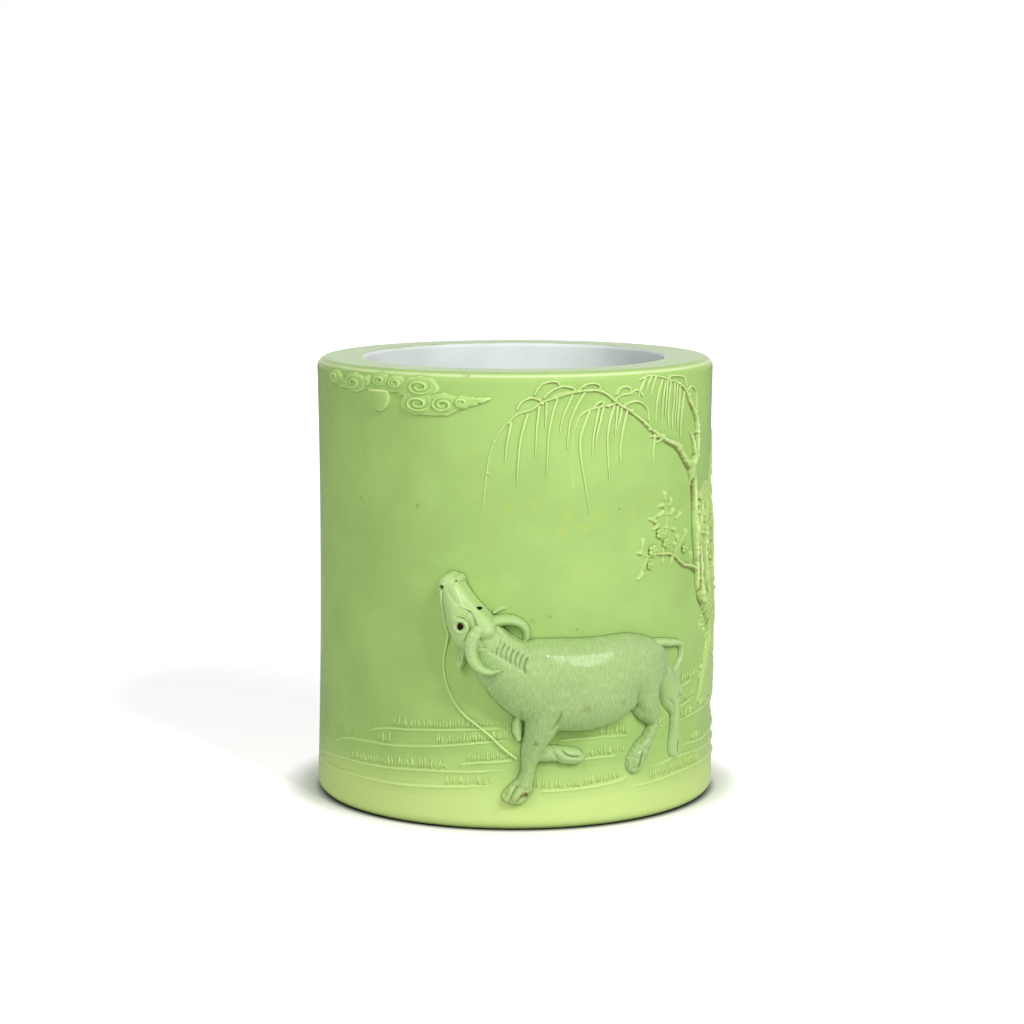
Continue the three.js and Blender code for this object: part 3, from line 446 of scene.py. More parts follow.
def wrap(name: str, mesh: bpy.types.Mesh, finish: Finish, nodes: tuple[str, ...]) -> None:
    """Finishes a mesh as a piece of the pot.

    Args:
        name: The piece's name.
        mesh: Its mesh, in place.
        finish: Its glaze.
        nodes: The CAD nodes that it stands for.
    """
    mesh.name = name
    mesh.materials.clear()
    mesh.materials.append(finish.material())
    mesh.shade_smooth()
    piece = bpy.data.objects.new(name, mesh)
    bpy.context.scene.collection.objects.link(piece)
    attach(piece, "root")
    if nodes:
        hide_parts(*nodes)
    LOG.info("%s: %d faces", name, len(mesh.polygons))


def mesh_of(points: np.ndarray, faces: np.ndarray) -> bpy.types.Mesh:
    """Makes a mesh from points in metres and rows of point numbers, all rows as long."""
    mesh = bpy.data.meshes.new("relief")
    mesh.vertices.add(len(points))
    mesh.vertices.foreach_set("co", points.astype(np.float32).ravel())
    mesh.loops.add(faces.size)
    mesh.loops.foreach_set("vertex_index", faces.astype(np.int32).ravel())
    mesh.polygons.add(len(faces))
    mesh.polygons.foreach_set("loop_start", np.arange(0, faces.size, faces.shape[1], dtype=np.int32))
    mesh.update(calc_edges=True)
    mesh.validate()
    return mesh


def points_of(mesh: bpy.types.Mesh) -> np.ndarray:
    """Gives a mesh's points, one row each."""
    points = np.zeros(len(mesh.vertices) * 3)
    mesh.vertices.foreach_get("co", points)
    return points.reshape(-1, 3)


def paint(mesh: bpy.types.Mesh, name: str, values: np.ndarray) -> None:
    """Stores an attribute: one value for each point of a mesh, or one row of three."""
    flat = values.ndim == 1
    attribute = mesh.attributes.new(name, "FLOAT" if flat else "FLOAT_VECTOR", "POINT")
    attribute.data.foreach_set("value" if flat else "vector", values.astype(np.float32).ravel())


@dataclass
class Patch:
    """Relief modelled as a height above one stretch of the wall.

    Attributes:
        start: Lowest girth and height, in millimetres.
        end: Highest girth and height, in millimetres.
        cell: Spacing of the points.
        tall: Spacing up the wall, where it differs.
    """

    start: tuple[float, float]
    end: tuple[float, float]
    cell: float
    tall: float = 0.0

    def __post_init__(self) -> None:
        """Lays out the grid."""
        self.tall = self.tall or self.cell
        self.girths = np.arange(self.start[0], self.end[0], self.cell)
        self.levels = np.arange(self.start[1], self.end[1], self.tall)
        self.girth, self.z = np.meshgrid(self.girths, self.levels, indexing="ij")
        self.height = np.zeros_like(self.girth)
        self.iron = np.zeros_like(self.girth)

    def window(self, girth: float, z: float, reach: float) -> tuple[slice, slice]:
        """Gives the part of the grid within reach of a place."""
        lows = np.searchsorted(self.girths, [girth - reach, girth + reach])
        highs = np.searchsorted(self.levels, [z - reach, z + reach])
        return slice(lows[0], lows[1] + 1), slice(highs[0], highs[1] + 1)

    def away(self, girth: float, z: float, spot: tuple | slice = slice(None)) -> np.ndarray:
        """Gives how far the points of the grid, or of a part of it, are from a place."""
        return np.hypot(self.girth[spot] - girth, self.z[spot] - z)

    def form(self, stations: Places, rings: float = 0, pitch: float = 1, flat: float = 2) -> np.ndarray:
        """Models one form that follows a path: each station is girth, z, half width, height and lift.

        Args:
            stations: The stations.
            rings: Depth of rings round the form.
            pitch: Distance between rings.
            flat: How flat its top is, where 2 is round.

        Returns:
            The form's height over the grid, 0 outside it.
        """
        path = smooth_path([(*station, 0.0)[:5] for station in stations], FORM_STEP)
        made = np.zeros_like(self.height)
        travelled = np.concatenate([[0.0], np.cumsum(np.hypot(*np.diff(path[:, :2], axis=0).T))])
        for (girth, z, width, height, lift), run in zip(path, travelled):
            spot = self.window(girth, z, width)
            if 0 in made[spot].shape:
                continue
            away = self.away(girth, z, spot) / width
            dome = np.sqrt(np.clip(1 - away**flat, 0, None))
            ripple = rings * math.cos(2 * math.pi * run / pitch)
            top = np.where(away < 1, lift + (height + ripple) * dome, 0)
            made[spot] = np.maximum(made[spot], top)
        return made

    def join(self, other: np.ndarray, blend: float = 0.0) -> None:
        """Adds a form's height, with a fillet as large as the blend where it meets what is there."""
        both = np.minimum(self.height, other)
        near = np.clip(blend - np.abs(self.height - other), 0, None) ** 2 / (4 * blend or 1)
        self.height = np.maximum(self.height, other) + np.where(both > LEAST_WORKED, near, 0)

    def add(self, stations: Places, blend: float = 0.0, **shape: float) -> None:
        """Models a form and joins it on."""
        self.join(self.form(stations, **shape), blend)

    def lower(self, cut: np.ndarray) -> None:
        """Takes a depth off the relief that is there."""
        self.height = np.where(self.height > LEAST_CUT, self.height - cut, self.height)

    def crease(self, line: Places, width: float, depth: float, iron: float = 0.0) -> None:
        """Cuts a groove along a line, or raises a ridge where the depth is negative.

        Args:
            line: Places along the line.
            width: Half width of the groove.
            depth: Its depth.
            iron: How much iron shows in it.
        """
        path = smooth_path(line, width / 2)
        cut = np.zeros_like(self.height)
        last = len(path) - 1
        for i, (girth, z) in enumerate(path[:, :2]):
            spot = self.window(girth, z, 3 * width)
            fade = min(1.0, 4 * min(i, last - i) / max(last, 1) + 0.15)
            cut[spot] = np.maximum(cut[spot], fade * np.exp(-((self.away(girth, z, spot) / width) ** 2)))
        self.lower(depth * cut)
        self.iron = np.maximum(self.iron, iron * cut)

    def pit(self, girth: float, z: float, width: float, depth: float, rim: float) -> None:
        """Sinks a round hollow, with a raised lip round it.

        Args:
            girth: Girth of its middle.
            z: Height of its middle.
            width: Half width.
            depth: Depth.
            rim: Height of the lip.
        """
        away = self.away(girth, z) / width
        self.lower(depth * np.exp(-(away**2) * 1.4) - rim * np.exp(-(((away - 1.5) / 0.4) ** 2)))

    def roughen(self, depth: float, size: float, seed: int) -> None:
        """Adds uneven modelling.

        Args:
            depth: How deep it is.
            size: Size of its marks.
            seed: Seed of the marks.
        """
        rng = np.random.default_rng(seed)
        marks = blurred(rng.normal(size=self.height.shape), (size / self.cell, size / self.tall))
        marks /= np.abs(marks).max()
        self.height += depth * marks * np.clip(self.height, 0, 1)
        self.iron = np.maximum(self.iron, np.clip(-marks - 0.35, 0, 1) * (self.height > LEAST_WORKED))

    def softened(self, spread: float) -> np.ndarray:
        """Gives the height as a coat of glaze would round it, with its spread in millimetres."""
        return blurred(self.height, (spread / self.cell, spread / self.tall))

    def soften(self, spread: float) -> None:
        """Softens the relief as glaze does."""
        self.height = np.clip(self.softened(spread), 0, None)

    def rust(self, threshold: float) -> None:
        """Lets iron show along lower edges that are steeper than the threshold."""
        rise = np.gradient(self.height, self.tall, axis=1)
        self.iron = np.maximum(self.iron, np.clip((rise - threshold) * 0.9, 0, 0.5))

    def held_cells(self) -> np.ndarray:
        """Picks the cells that carry relief, and some between them, so that none meet at a corner only."""
        held = self.height > LEAST_RELIEF
        cells = held[:-1, :-1] | held[1:, :-1] | held[:-1, 1:] | held[1:, 1:]
        for _ in range(3):
            one = cells[:-1, :-1] & cells[1:, 1:] & ~cells[1:, :-1] & ~cells[:-1, 1:]
            two = ~cells[:-1, :-1] & ~cells[1:, 1:] & cells[1:, :-1] & cells[:-1, 1:]
            cells[1:, :-1] |= one
            cells[:-1, :-1] |= two
        return cells

    def solid(self) -> tuple[bpy.types.Mesh, np.ndarray]:
        """Makes the relief a closed mesh, its edges and back sunk in the wall.

        Returns:
            The mesh, and which points of the grid it uses.
        """
        cells = self.held_cells()
        used = np.zeros(self.height.shape, bool)
        for a, b in ((0, 0), (1, 0), (0, 1), (1, 1)):
            used[a : a + cells.shape[0], b : b + cells.shape[1]] |= cells
        count = int(used.sum())
        number = np.full(self.height.shape, -1)
        number[used] = np.arange(count)
        i, j = np.nonzero(cells)
        corner = {(a, b): number[i + a, j + b] for a in (0, 1) for b in (0, 1)}
        top = np.stack([corner[0, 0], corner[1, 0], corner[1, 1], corner[0, 1]], 1)
        faces = [top, top[:, ::-1] + count]
        ring = np.pad(cells, 1)
        sides = (
            ((-1, 0), (0, 0), (0, 1)),
            ((0, -1), (1, 0), (0, 0)),
            ((1, 0), (1, 1), (1, 0)),
            ((0, 1), (0, 1), (1, 1)),
        )
        for (di, dj), first, second in sides:
            open_side = ~ring[i + 1 + di, j + 1 + dj]
            a, b = corner[first][open_side], corner[second][open_side]
            faces.append(np.stack([a, b, b + count, a + count], 1))
        outer = wall_points(self.girth[used], self.z[used], self.height[used] - EDGE_SUNK)
        inner = wall_points(self.girth[used], self.z[used], -BACK_SUNK)
        return mesh_of(np.vstack([outer, inner]), np.vstack(faces)), used

    def piece(
        self,
        name: str,
        finish: Finish,
        nodes: tuple[str, ...],
        contrast: float = 1.0,
        hair: np.ndarray | None = None,
    ) -> None:
        """Makes the piece.

        Args:
            name: Its name.
            finish: Its glaze.
            nodes: The CAD nodes that it stands for.
            contrast: How strongly the glaze breaks over edges.
            hair: Which way the hair lies, if it has a coat.
        """
        mesh, used = self.solid()
        rise = np.clip(self.height - self.softened(0.5), -0.6, 0.6)[used]
        steep = np.hypot(*np.gradient(self.height, self.cell, self.tall))[used]
        thin = np.where(rise > 0, rise * contrast, rise * 1.6 / (1 + (steep / 1.6) ** 2))
        paint(mesh, "thin", np.concatenate([thin, 0 * thin]))
        paint(mesh, "iron", np.tile(self.iron[used], 2))
        if hair is not None:
            paint(mesh, "hair", np.tile(hair[used], (2, 1)))
        wrap(name, mesh, finish, nodes)


class Tree:
    """A Geometry Nodes tree under construction, with named inputs."""

    def __init__(self, name: str, **sizes: float) -> None:
        """Starts a tree.

        Args:
            name: The tree's name.
            sizes: Its named sizes. A whole number makes an integer input.
        """
        self.group = bpy.data.node_groups.new(name, "GeometryNodeTree")
        self.sizes = sizes
        face = self.group.interface
        for way in ("INPUT", "OUTPUT"):
            face.new_socket("Geometry", in_out=way, socket_type="NodeSocketGeometry")
        kinds = {title: "Int" if isinstance(size, int) else "Float" for title, size in sizes.items()}
        self.keys = {
            title: face.new_socket(title, in_out="INPUT", socket_type=f"NodeSocket{kind}").identifier
            for title, kind in {**kinds, "Glaze": "Material"}.items()
        }
        self.kit = Nodes(self.group)
        self.inputs = self.group.nodes.new("NodeGroupInput").outputs

    def close(self, geometry: Socket) -> None:
        """Ends the tree with its instances made real and its glaze set."""
        glaze = self.inputs["Glaze"]
        real = self.kit.add("GeometryNodeRealizeInstances", Geometry=geometry)
        shaded = self.kit.add("GeometryNodeSetShadeSmooth", Geometry=real.outputs[0])
        glazed = self.kit.add("GeometryNodeSetMaterial", Geometry=shaded.outputs[0], Material=glaze)
        self.kit.add("NodeGroupOutput", values=(glazed.outputs[0],))

    def bake(self, mesh: bpy.types.Mesh, finish: Finish) -> bpy.types.Mesh:
        """Runs the tree on a mesh with a glaze, and gives a plain mesh of the result."""
        carrier = bpy.data.objects.new("carrier", mesh)
        bpy.context.scene.collection.objects.link(carrier)
        modifier = carrier.modifiers.new("rule", "NODES")
        modifier.node_group = self.group
        for title, value in {**self.sizes, "Glaze": finish.material()}.items():
            modifier[self.keys[title]] = value
        bpy.context.view_layer.update()
        shown = carrier.evaluated_get(bpy.context.evaluated_depsgraph_get())
        result = bpy.data.meshes.new_from_object(shown)
        carrier.modifiers.remove(modifier)
        bpy.data.objects.remove(carrier)
        return result


def turning_tree(turns: int, rows: int) -> Tree:
    """Builds the tree that turns a profile about the pot's axis, as a wheel does.

    Args:
        turns: How many steps go round the pot.
        rows: How many points the profile has.

    Returns:
        The tree.
    """
    tree = Tree("thrown_wall", Turns=turns, Rows=rows)
    kit = tree.kit
    columns = kit.maths("ADD", tree.inputs["Turns"], 1)
    grid = kit.add("GeometryNodeMeshGrid", values=(1.0, 1.0, columns, tree.inputs["Rows"]))
    place = kit.add("GeometryNodeInputPosition").outputs[0]
    spot = kit.add("ShaderNodeSeparateXYZ", Vector=place)
    angle = kit.maths("MULTIPLY", kit.maths("ADD", spot.outputs["X"], 0.5), 2 * math.pi)
    last = kit.maths("SUBTRACT", tree.inputs["Rows"], 1)
    row = kit.maths("ROUND", kit.maths("MULTIPLY", kit.maths("ADD", spot.outputs["Y"], 0.5), last))
    sample = kit.add(
        "GeometryNodeSampleIndex", data_type="FLOAT_VECTOR", Geometry=tree.inputs["Geometry"], Index=row
    )
    kit.plug(next(s for s in of_type(sample.inputs, "VECTOR") if s.name == "Value"), place)
    point = kit.add("ShaderNodeSeparateXYZ", Vector=of_type(sample.outputs, "VECTOR")[0]).outputs
    across = kit.maths("MULTIPLY", point["X"], kit.maths("SINE", angle))
    away = kit.maths("MULTIPLY", kit.maths("MULTIPLY", point["X"], kit.maths("COSINE", angle)), -1.0)
    turned = kit.add("ShaderNodeCombineXYZ", X=across, Y=away, Z=point["Z"])
    moved = kit.add("GeometryNodeSetPosition", Geometry=grid.outputs["Mesh"], Position=turned.outputs[0])
    closed = kit.add("GeometryNodeMergeByDistance", Geometry=moved.outputs[0], Distance=1e-6)
    tree.close(closed.outputs[0])
    return tree


def strand_tree(sides: int) -> Tree:
    """Builds the tree that runs a strand of so many sides along every line, as thick as the line says."""
    tree = Tree("strands", Sides=sides)
    kit = tree.kit
    thickness = kit.named("thick")
    line = kit.add("GeometryNodeMeshToCurve", Mesh=tree.inputs["Geometry"])
    sized = kit.add("GeometryNodeSetCurveRadius", Curve=line.outputs[0], Radius=thickness)
    circle = kit.add("GeometryNodeCurvePrimitiveCircle", Resolution=tree.inputs["Sides"], Radius=1.0)
    tube = kit.add("GeometryNodeCurveToMesh", Curve=sized.outputs[0], Profile_Curve=circle.outputs[0])
    tube.inputs["Fill Caps"].default_value = True
    if "Scale" in tube.inputs:
        kit.plug(tube.inputs["Scale"], thickness)
    tree.close(tube.outputs[0])
    return tree


def blade(kit: Nodes) -> Socket:
    """Makes a blade of grass."""
    cone = kit.add("GeometryNodeMeshCone", Vertices=6, Side_Segments=2, Depth=2.3 * MM)
    cone.inputs["Radius Top"].default_value = 0.08 * MM
    cone.inputs["Radius Bottom"].default_value = 0.3 * MM
    return cone.outputs["Mesh"]


def moss_dot(kit: Nodes) -> Socket:
    """Makes a dot of moss."""
    return kit.add("GeometryNodeMeshIcoSphere", Subdivisions=2, Radius=0.34 * MM).outputs["Mesh"]


def blossom(kit: Nodes) -> Socket:
    """Makes a blossom with five petals."""
    ring = kit.add("GeometryNodeMeshCircle", Vertices=5, Radius=1.0 * MM)
    petal = kit.add("GeometryNodeMeshUVSphere", Segments=10, Rings=6, Radius=0.85 * MM)
    flat = kit.add("GeometryNodeTransform", Geometry=petal.outputs["Mesh"], Scale=(1.0, 0.86, 0.62))
    petals = kit.add("GeometryNodeInstanceOnPoints", Points=ring.outputs[0], Instance=flat.outputs[0])
    heart = kit.add("GeometryNodeMeshUVSphere", Segments=10, Rings=6, Radius=0.55 * MM)
    lift = (0.0, 0.0, 0.35 * MM)
    raised = kit.add("GeometryNodeTransform", Geometry=heart.outputs["Mesh"], Translation=lift)
    whole = kit.add("GeometryNodeJoinGeometry")
    for part in (petals, raised):
        kit.tree.links.new(part.outputs[0], whole.inputs[0])
    return whole.outputs[0]


Shape = Callable[[Nodes], Socket]


def scatter_tree(name: str, shape: Shape, seed: int, lean: float, lay: float = 0.0) -> Tree:
    """Builds the tree that sets one shape on every point, turned with the wall.

    Args:
        name: The tree's name.
        shape: Makes the shape.
        seed: Seed of the lean and size.
        lean: How far a shape leans either way, in radians.
        lay: Turn about the girth, which lays a flat shape against the wall.

    Returns:
        The tree.
    """
    tree = Tree(name, Seed=seed, Lean=lean, Lay=lay, Least=0.65, Most=1.15)
    kit = tree.kit
    seeds = (tree.inputs["Seed"], kit.maths("ADD", tree.inputs["Seed"], 1))
    least = (kit.maths("MULTIPLY", tree.inputs["Lean"], -1.0), tree.inputs["Least"])
    most = (tree.inputs["Lean"], tree.inputs["Most"])
    drawn = []
    for draw_seed, low, high in zip(seeds, least, most):
        draw = kit.add("FunctionNodeRandomValue", data_type="FLOAT", Seed=draw_seed)
        for socket, value in zip(of_type(draw.inputs, "VALUE"), (low, high)):
            kit.plug(socket, value)
        drawn.append(of_type(draw.outputs, "VALUE")[0])
    rotation = kit.add("ShaderNodeCombineXYZ", X=tree.inputs["Lay"], Y=drawn[0], Z=kit.named("turn"))
    placed = kit.add(
        "GeometryNodeInstanceOnPoints",
        Points=tree.inputs["Geometry"],
        Instance=shape(kit),
        Rotation=rotation.outputs[0],
        Scale=drawn[1],
    )
    tree.close(placed.outputs[0])
    return tree


def strands(name: str, lines: list[Places], finish: Finish, nodes: tuple[str, ...], sides: int = 8) -> None:
    """Makes thin strands on the wall. Each place of a line is girth, z, half width and how far off the wall.

    Args:
        name: The piece's name.
        lines: The lines.
        finish: Its glaze.
        nodes: The CAD nodes that it stands for.
        sides: How many sides a strand has.
    """
    points, edges, thick = [], [], []
    for line in lines:
        path = smooth_path(line, LINE_STEP)
        first = len(points)
        points.extend(wall_points(path[:, 0], path[:, 1], path[:, 3]))
        thick.extend(path[:, 2] * MM)
        edges.extend((first + k, first + k + 1) for k in range(len(path) - 1))
    mesh = bpy.data.meshes.new("lines")
    mesh.from_pydata(points, edges, [])
    paint(mesh, "thick", np.array(thick))
    wrap(name, strand_tree(sides).bake(mesh, finish), finish, nodes)


def scattered(name: str, tree: Tree, places: Places, finish: Finish, nodes: tuple[str, ...] = ()) -> None:
    """Sets a tree's shape on places of the wall, each a girth, a height and how far off the wall.

    Args:
        name: The piece's name.
        tree: The tree.
        places: The places.
        finish: Its glaze.
        nodes: The CAD nodes that it stands for.
    """
    girth, z, off = np.array(places, float).T
    mesh = bpy.data.meshes.new("points")
    mesh.from_pydata(wall_points(girth, z, off), [], [])
    paint(mesh, "turn", girth / CHART_RADIUS)
    wrap(name, tree.bake(mesh, finish), finish, nodes)


def arc(middle: tuple[float, float], radius: float, first: float, last: float) -> Places:
    """Gives the six points that follow the first one of an arc."""
    turns = np.linspace(first, last, 7)[1:]
    return [(middle[0] + radius * math.cos(turn), middle[1] + radius * math.sin(turn)) for turn in turns]


class Vessel:
    """The thrown wall, its white lining and its bare base. Marks are girth, height and half width."""

    turns = 384
    stains: Places = [
        (-1.5, 92, 1), (5.3, 93, 0.9), (14.5, 90.5, 1.6), (23.8, 89, 1.2), (19.5, 86, 1.4),
        (13.5, 85.5, 1.1), (41, 93, 1.3), (35, 89.5, 0.9), (-11.5, 108.5, 0.8), (17.8, 74.5, 1),
        (12.8, 77.5, 0.8),
    ]
    irons: Places = [
        (-13.5, 129, 0.5), (-17.3, 110.5, 0.35), (-28.5, 91.8, 0.45), (-49, 92, 0.35), (-53.5, 23.5, 0.4),
        (1.5, 11.6, 1.3), (10, 61, 0.5), (5, 60.2, 0.4),
    ]

    def wall_profile(self) -> Places:
        """Gives the profile from the middle of the floor inside, over the rim and under the foot."""
        floor = FLOOR_THICKNESS + LUTE_GAP
        cove = floor + FLOOR_COVE
        rebate = INNER_RADIUS + SLAB_REBATE
        top = POT_HEIGHT - MOUTH_ROUND
        edge = float(wall_radius(POT_HEIGHT))
        over = [POT_HEIGHT - RIM_ROUND * (1 - s) for s in np.sin(np.linspace(math.pi / 2, 0, 12))]
        straight = list(np.arange(POT_HEIGHT - RIM_ROUND - 1, FOOT_ROUND, -1.0))
        under = [FOOT_ROUND * (1 - math.sin(t)) for t in np.linspace(0, math.pi / 2, 10)]
        return [
            *[(r, floor) for r in np.linspace(0, INNER_RADIUS - FLOOR_COVE, 12)],
            *arc((INNER_RADIUS - FLOOR_COVE, cove), FLOOR_COVE, -math.pi / 2, 0),
            *[(INNER_RADIUS, z) for z in np.linspace(cove, top, 28)[1:]],
            *arc((INNER_RADIUS + MOUTH_ROUND, top), MOUTH_ROUND, math.pi, math.pi / 2),
            *[(r, POT_HEIGHT) for r in np.linspace(INNER_RADIUS + MOUTH_ROUND, edge, 12)[1:-1]],
            *[(float(wall_radius(z)), float(z)) for z in [*over, *straight, *under]],
            *[(rebate + 1, 0.0), (rebate, 1.0), (rebate, floor - 0.1), (0.0, floor - 0.1)],
        ]

    def slab_profile(self) -> Places:
        """Gives the profile of the bare base, with the low rings that turning leaves."""
        radius = INNER_RADIUS + SLAB_REBATE - LUTE_GAP
        under = [(r, 0.05 - 0.05 * math.cos(r * 1.7)) for r in np.linspace(0.0, radius - 1, 70)]
        return [*under, (radius, 1.0), (radius, FLOOR_THICKNESS - 0.4), (0.0, FLOOR_THICKNESS - 0.4)]

    def turned(self, profile: Places, finish: Finish) -> bpy.types.Mesh:
        """Turns a profile, of radii and heights, into a closed mesh with its faces outwards."""
        line = bpy.data.meshes.new("profile")
        line.from_pydata([(radius * MM, 0.0, z * MM) for radius, z in profile], [], [])
        mesh = turning_tree(self.turns, len(profile)).bake(line, finish)
        mesh.calc_loop_triangles()
        corners = np.zeros(len(mesh.loop_triangles) * 3, int)
        mesh.loop_triangles.foreach_get("vertices", corners)
        a, b, c = points_of(mesh)[corners.reshape(-1, 3)].transpose(1, 0, 2)
        if np.sum(a * np.cross(b, c)) < 0:
            mesh.flip_normals()
        return mesh

    def build(self, pools: list[Patch]) -> None:
        """Makes the wall and the base, given the relief that glaze pools round."""
        mesh = self.turned(self.wall_profile(), Palette.wall)
        x, y, z = points_of(mesh).T / MM
        girth = np.arctan2(x, -y) * CHART_RADIUS
        outside = np.hypot(x, y) > wall_radius(z) - 0.05
        paint(mesh, "stain", self._marks(girth, z, self.stains) * outside * 0.35)
        paint(mesh, "iron", self._marks(girth, z, self.irons) * outside)
        paint(mesh, "thin", self._pooling(girth, z, pools) * outside)
        wrap("thrown_wall", mesh, Palette.wall, ("pot_wall",))
        wrap("bare_base", self.turned(self.slab_profile(), Palette.biscuit), Palette.biscuit, ("base_slab",))

    def _marks(self, girth: np.ndarray, z: np.ndarray, marks: Places) -> np.ndarray:
        """Gives how strongly marks show at each point."""
        away = [np.hypot(girth - place, z - level) / size for place, level, size in marks]
        return np.exp(-(np.min(away, 0) ** 2))

    def _pooling(self, girth: np.ndarray, z: np.ndarray, pools: list[Patch]) -> np.ndarray:
        """Gives how far glaze pools round the relief at each point, below 0, and thins on the rim, above 0.

        Args:
            girth: Girth of each point.
            z: Height of each point.
            pools: Relief that glaze pools round.

        Returns:
            One value for each point.
        """
        pooled = np.zeros_like(z)
        for patch in pools:
            near = blurred(np.clip(patch.height, 0, 2.0), (0.6 / patch.cell, 0.6 / patch.tall))
            column = np.round((girth - patch.girths[0]) / patch.cell).astype(int)
            row = np.round((z - patch.levels[0]) / patch.tall).astype(int)
            inside = (column >= 0) & (column < len(patch.girths)) & (row >= 0) & (row < len(patch.levels))
            pooled[inside] = np.maximum(pooled[inside], near[column[inside], row[inside]])
        rim = np.clip(1 - np.abs(z - (POT_HEIGHT - 0.95)) / 0.75, 0, 1)
        return 0.3 * rim - np.clip(pooled * 0.16, 0, 0.17)


class Buffalo:
    """The water buffalo that turns its head up. Stations are girth, z, half width, height and lift."""

    body: Places = [
        (-3, 46, 6, 6), (1, 44.6, 9.6, 8), (7, 42.9, 12.3, 8.7), (13, 41.9, 13.2, 8.9),
        (19, 41.6, 13.3, 8.8), (25, 42.4, 12.6, 8.2), (31, 44.4, 10.8, 7.4), (36, 44.9, 9.3, 6.4),
        (40, 45.2, 7.2, 5), (42.4, 45.6, 4, 3),
    ]
    neck: Places = [
        (3, 44, 9, 6.5, 1), (-1.5, 46.8, 8.6, 6.8, 1.5), (-5, 50.5, 7, 6.4, 2), (-7.6, 54.6, 5.8, 5.6, 2.4),
    ]
    head: Places = [
        (-8.2, 55.4, 4.8, 3.6, 5), (-10.4, 57.8, 5.8, 4.8, 5), (-12.4, 60.8, 5.2, 4.8, 4.8),
        (-14.4, 64.9, 3.9, 4.1, 4.6), (-15.9, 68.4, 3.1, 3.5, 4.6), (-17, 70.8, 2.9, 3.2, 4.8),
        (-17.3, 71.4, 2.4, 2.6, 4.9),
    ]
    poll: Places = [(-7.2, 58.8, 2.5, 3.8, 6.6), (-9, 60.6, 2.6, 3.4, 6.4), (-10.8, 62.6, 1.6, 2.6, 6.2)]
    near_horn: Places = [
        (-9, 59, 1.7, 1.5, 9), (-9.9, 57.2, 1.8, 1.8, 9.2), (-10.5, 55, 1.75, 1.8, 9.2),
        (-10.5, 52.5, 1.6, 1.7, 9.1), (-9.8, 50, 1.45, 1.6, 9), (-8.3, 48.1, 1.2, 1.4, 8.8),
        (-6.2, 47.2, 0.95, 1.1, 8.5), (-4.2, 47.5, 0.65, 0.8, 8.4), (-2.3, 48.4, 0.25, 0.4, 8.4),
    ]
    far_horn: Places = [
        (-5.4, 60.2, 1.6, 2.8, 1), (-2.7, 60.6, 1.5, 2.6, 0.8), (-0.4, 60.4, 1.4, 2.4, 0.6),
        (1.6, 59.5, 1.3, 2.2, 0.4), (2.9, 57.9, 1.15, 1.9, 0.3), (3.2, 56, 1, 1.6, 0.2),
        (2.7, 54.6, 0.7, 1.2, 0.2), (1.8, 53.4, 0.25, 0.8, 0.2),
    ]
    near_ear: Places = [
        (-13.2, 54, 0.4, 0.6, 4.6), (-14, 51, 0.85, 0.7, 4.2), (-14.7, 48.5, 1, 0.7, 3.4),
        (-15.1, 46.7, 0.4, 0.4, 2.8),
    ]
    far_ear: Places = [(-6.3, 62.3, 0.5, 1.2), (-4.4, 63.5, 0.75, 1.1), (-2.5, 63.9, 0.3, 0.8)]
    near_foreleg: Places = [
        (8.6, 36.5, 5.6, 8), (7.2, 31.1, 4.9, 7), (6.2, 28, 4, 6.2), (5.1, 25, 3.3, 5.4),
        (4.6, 22.6, 3, 4.8), (3.9, 20.1, 2.3, 4.2), (3.4, 17.1, 1.95, 3.9), (2.7, 14.4, 2.3, 3.8),
        (1.7, 12.4, 3, 3.8), (0.6, 11.1, 3.2, 3.7), (-0.8, 10.5, 2.6, 3.4), (-2.1, 10.2, 1.7, 2.9),
    ]
    near_hind_leg: Places = [
        (37.4, 41.5, 5.4, 6.2), (37.6, 37.2, 4.9, 5.8), (38.6, 33.8, 4.2, 4.8), (40.5, 30.7, 2.8, 3.8),
        (41.6, 28.6, 1.7, 3.1), (40.8, 26.1, 1.7, 2.8), (39.4, 23.6, 1.9, 2.8), (37.6, 21.6, 2.5, 2.9),
        (36.3, 19.4, 3.1, 2.9), (35.4, 17.8, 3.2, 2.8), (34.8, 17, 2.7, 2.4),
    ]
    far_knee: Places = [
        (1, 33, 0.8, 2.4), (0.7, 31.2, 1.5, 2.9), (0.6, 28.9, 1.5, 2.8), (1, 26.8, 0.9, 2.3),
    ]
    far_forearm: Places = [
        (5.6, 21.6, 1.5, 2.3), (8.6, 22.3, 2.4, 2.8), (11.4, 22.2, 2.3, 2.7), (13.8, 21.6, 2.6, 3),
        (16, 21.2, 2.5, 2.9), (17.4, 20.8, 1.8, 2.3),
    ]
    far_hind_leg: Places = [
        (47, 41, 3.4, 2.6), (48.6, 37.6, 4.2, 2.6), (49.2, 34.6, 3.8, 2.5), (50.3, 32, 2.5, 2.4),
        (51, 29.5, 1.6, 2.2), (50.9, 26.3, 1.6, 2), (51.2, 22.9, 2.4, 2.1), (51, 20.5, 2.8, 2.2),
        (50.7, 18.6, 2.4, 2), (50.4, 17.8, 1.6, 1.6),
    ]
    tail: Places = [
        (41, 51.2, 1.3, 2.6), (45, 51, 1.25, 2.4), (48.4, 50.4, 1.2, 2.2), (51.3, 50, 1.1, 2),
        (53.6, 49.4, 0.9, 1.8), (54.3, 47.8, 0.6, 1.5), (54, 45.5, 0.55, 1.4), (52.8, 43.3, 1, 1.4),
        (51.8, 40.9, 1.9, 1.4), (52.6, 37.8, 1.9, 1.3), (54.3, 35.2, 1, 1.2), (54.8, 33.8, 0.4, 0.9),
    ]
    rump_fold: Places = [
        (46.8, 47.8, 0.5, 1.3), (47, 46.4, 0.7, 1.6), (47.2, 44.4, 0.95, 1.7), (47.2, 42.2, 1, 1.5),
    ]

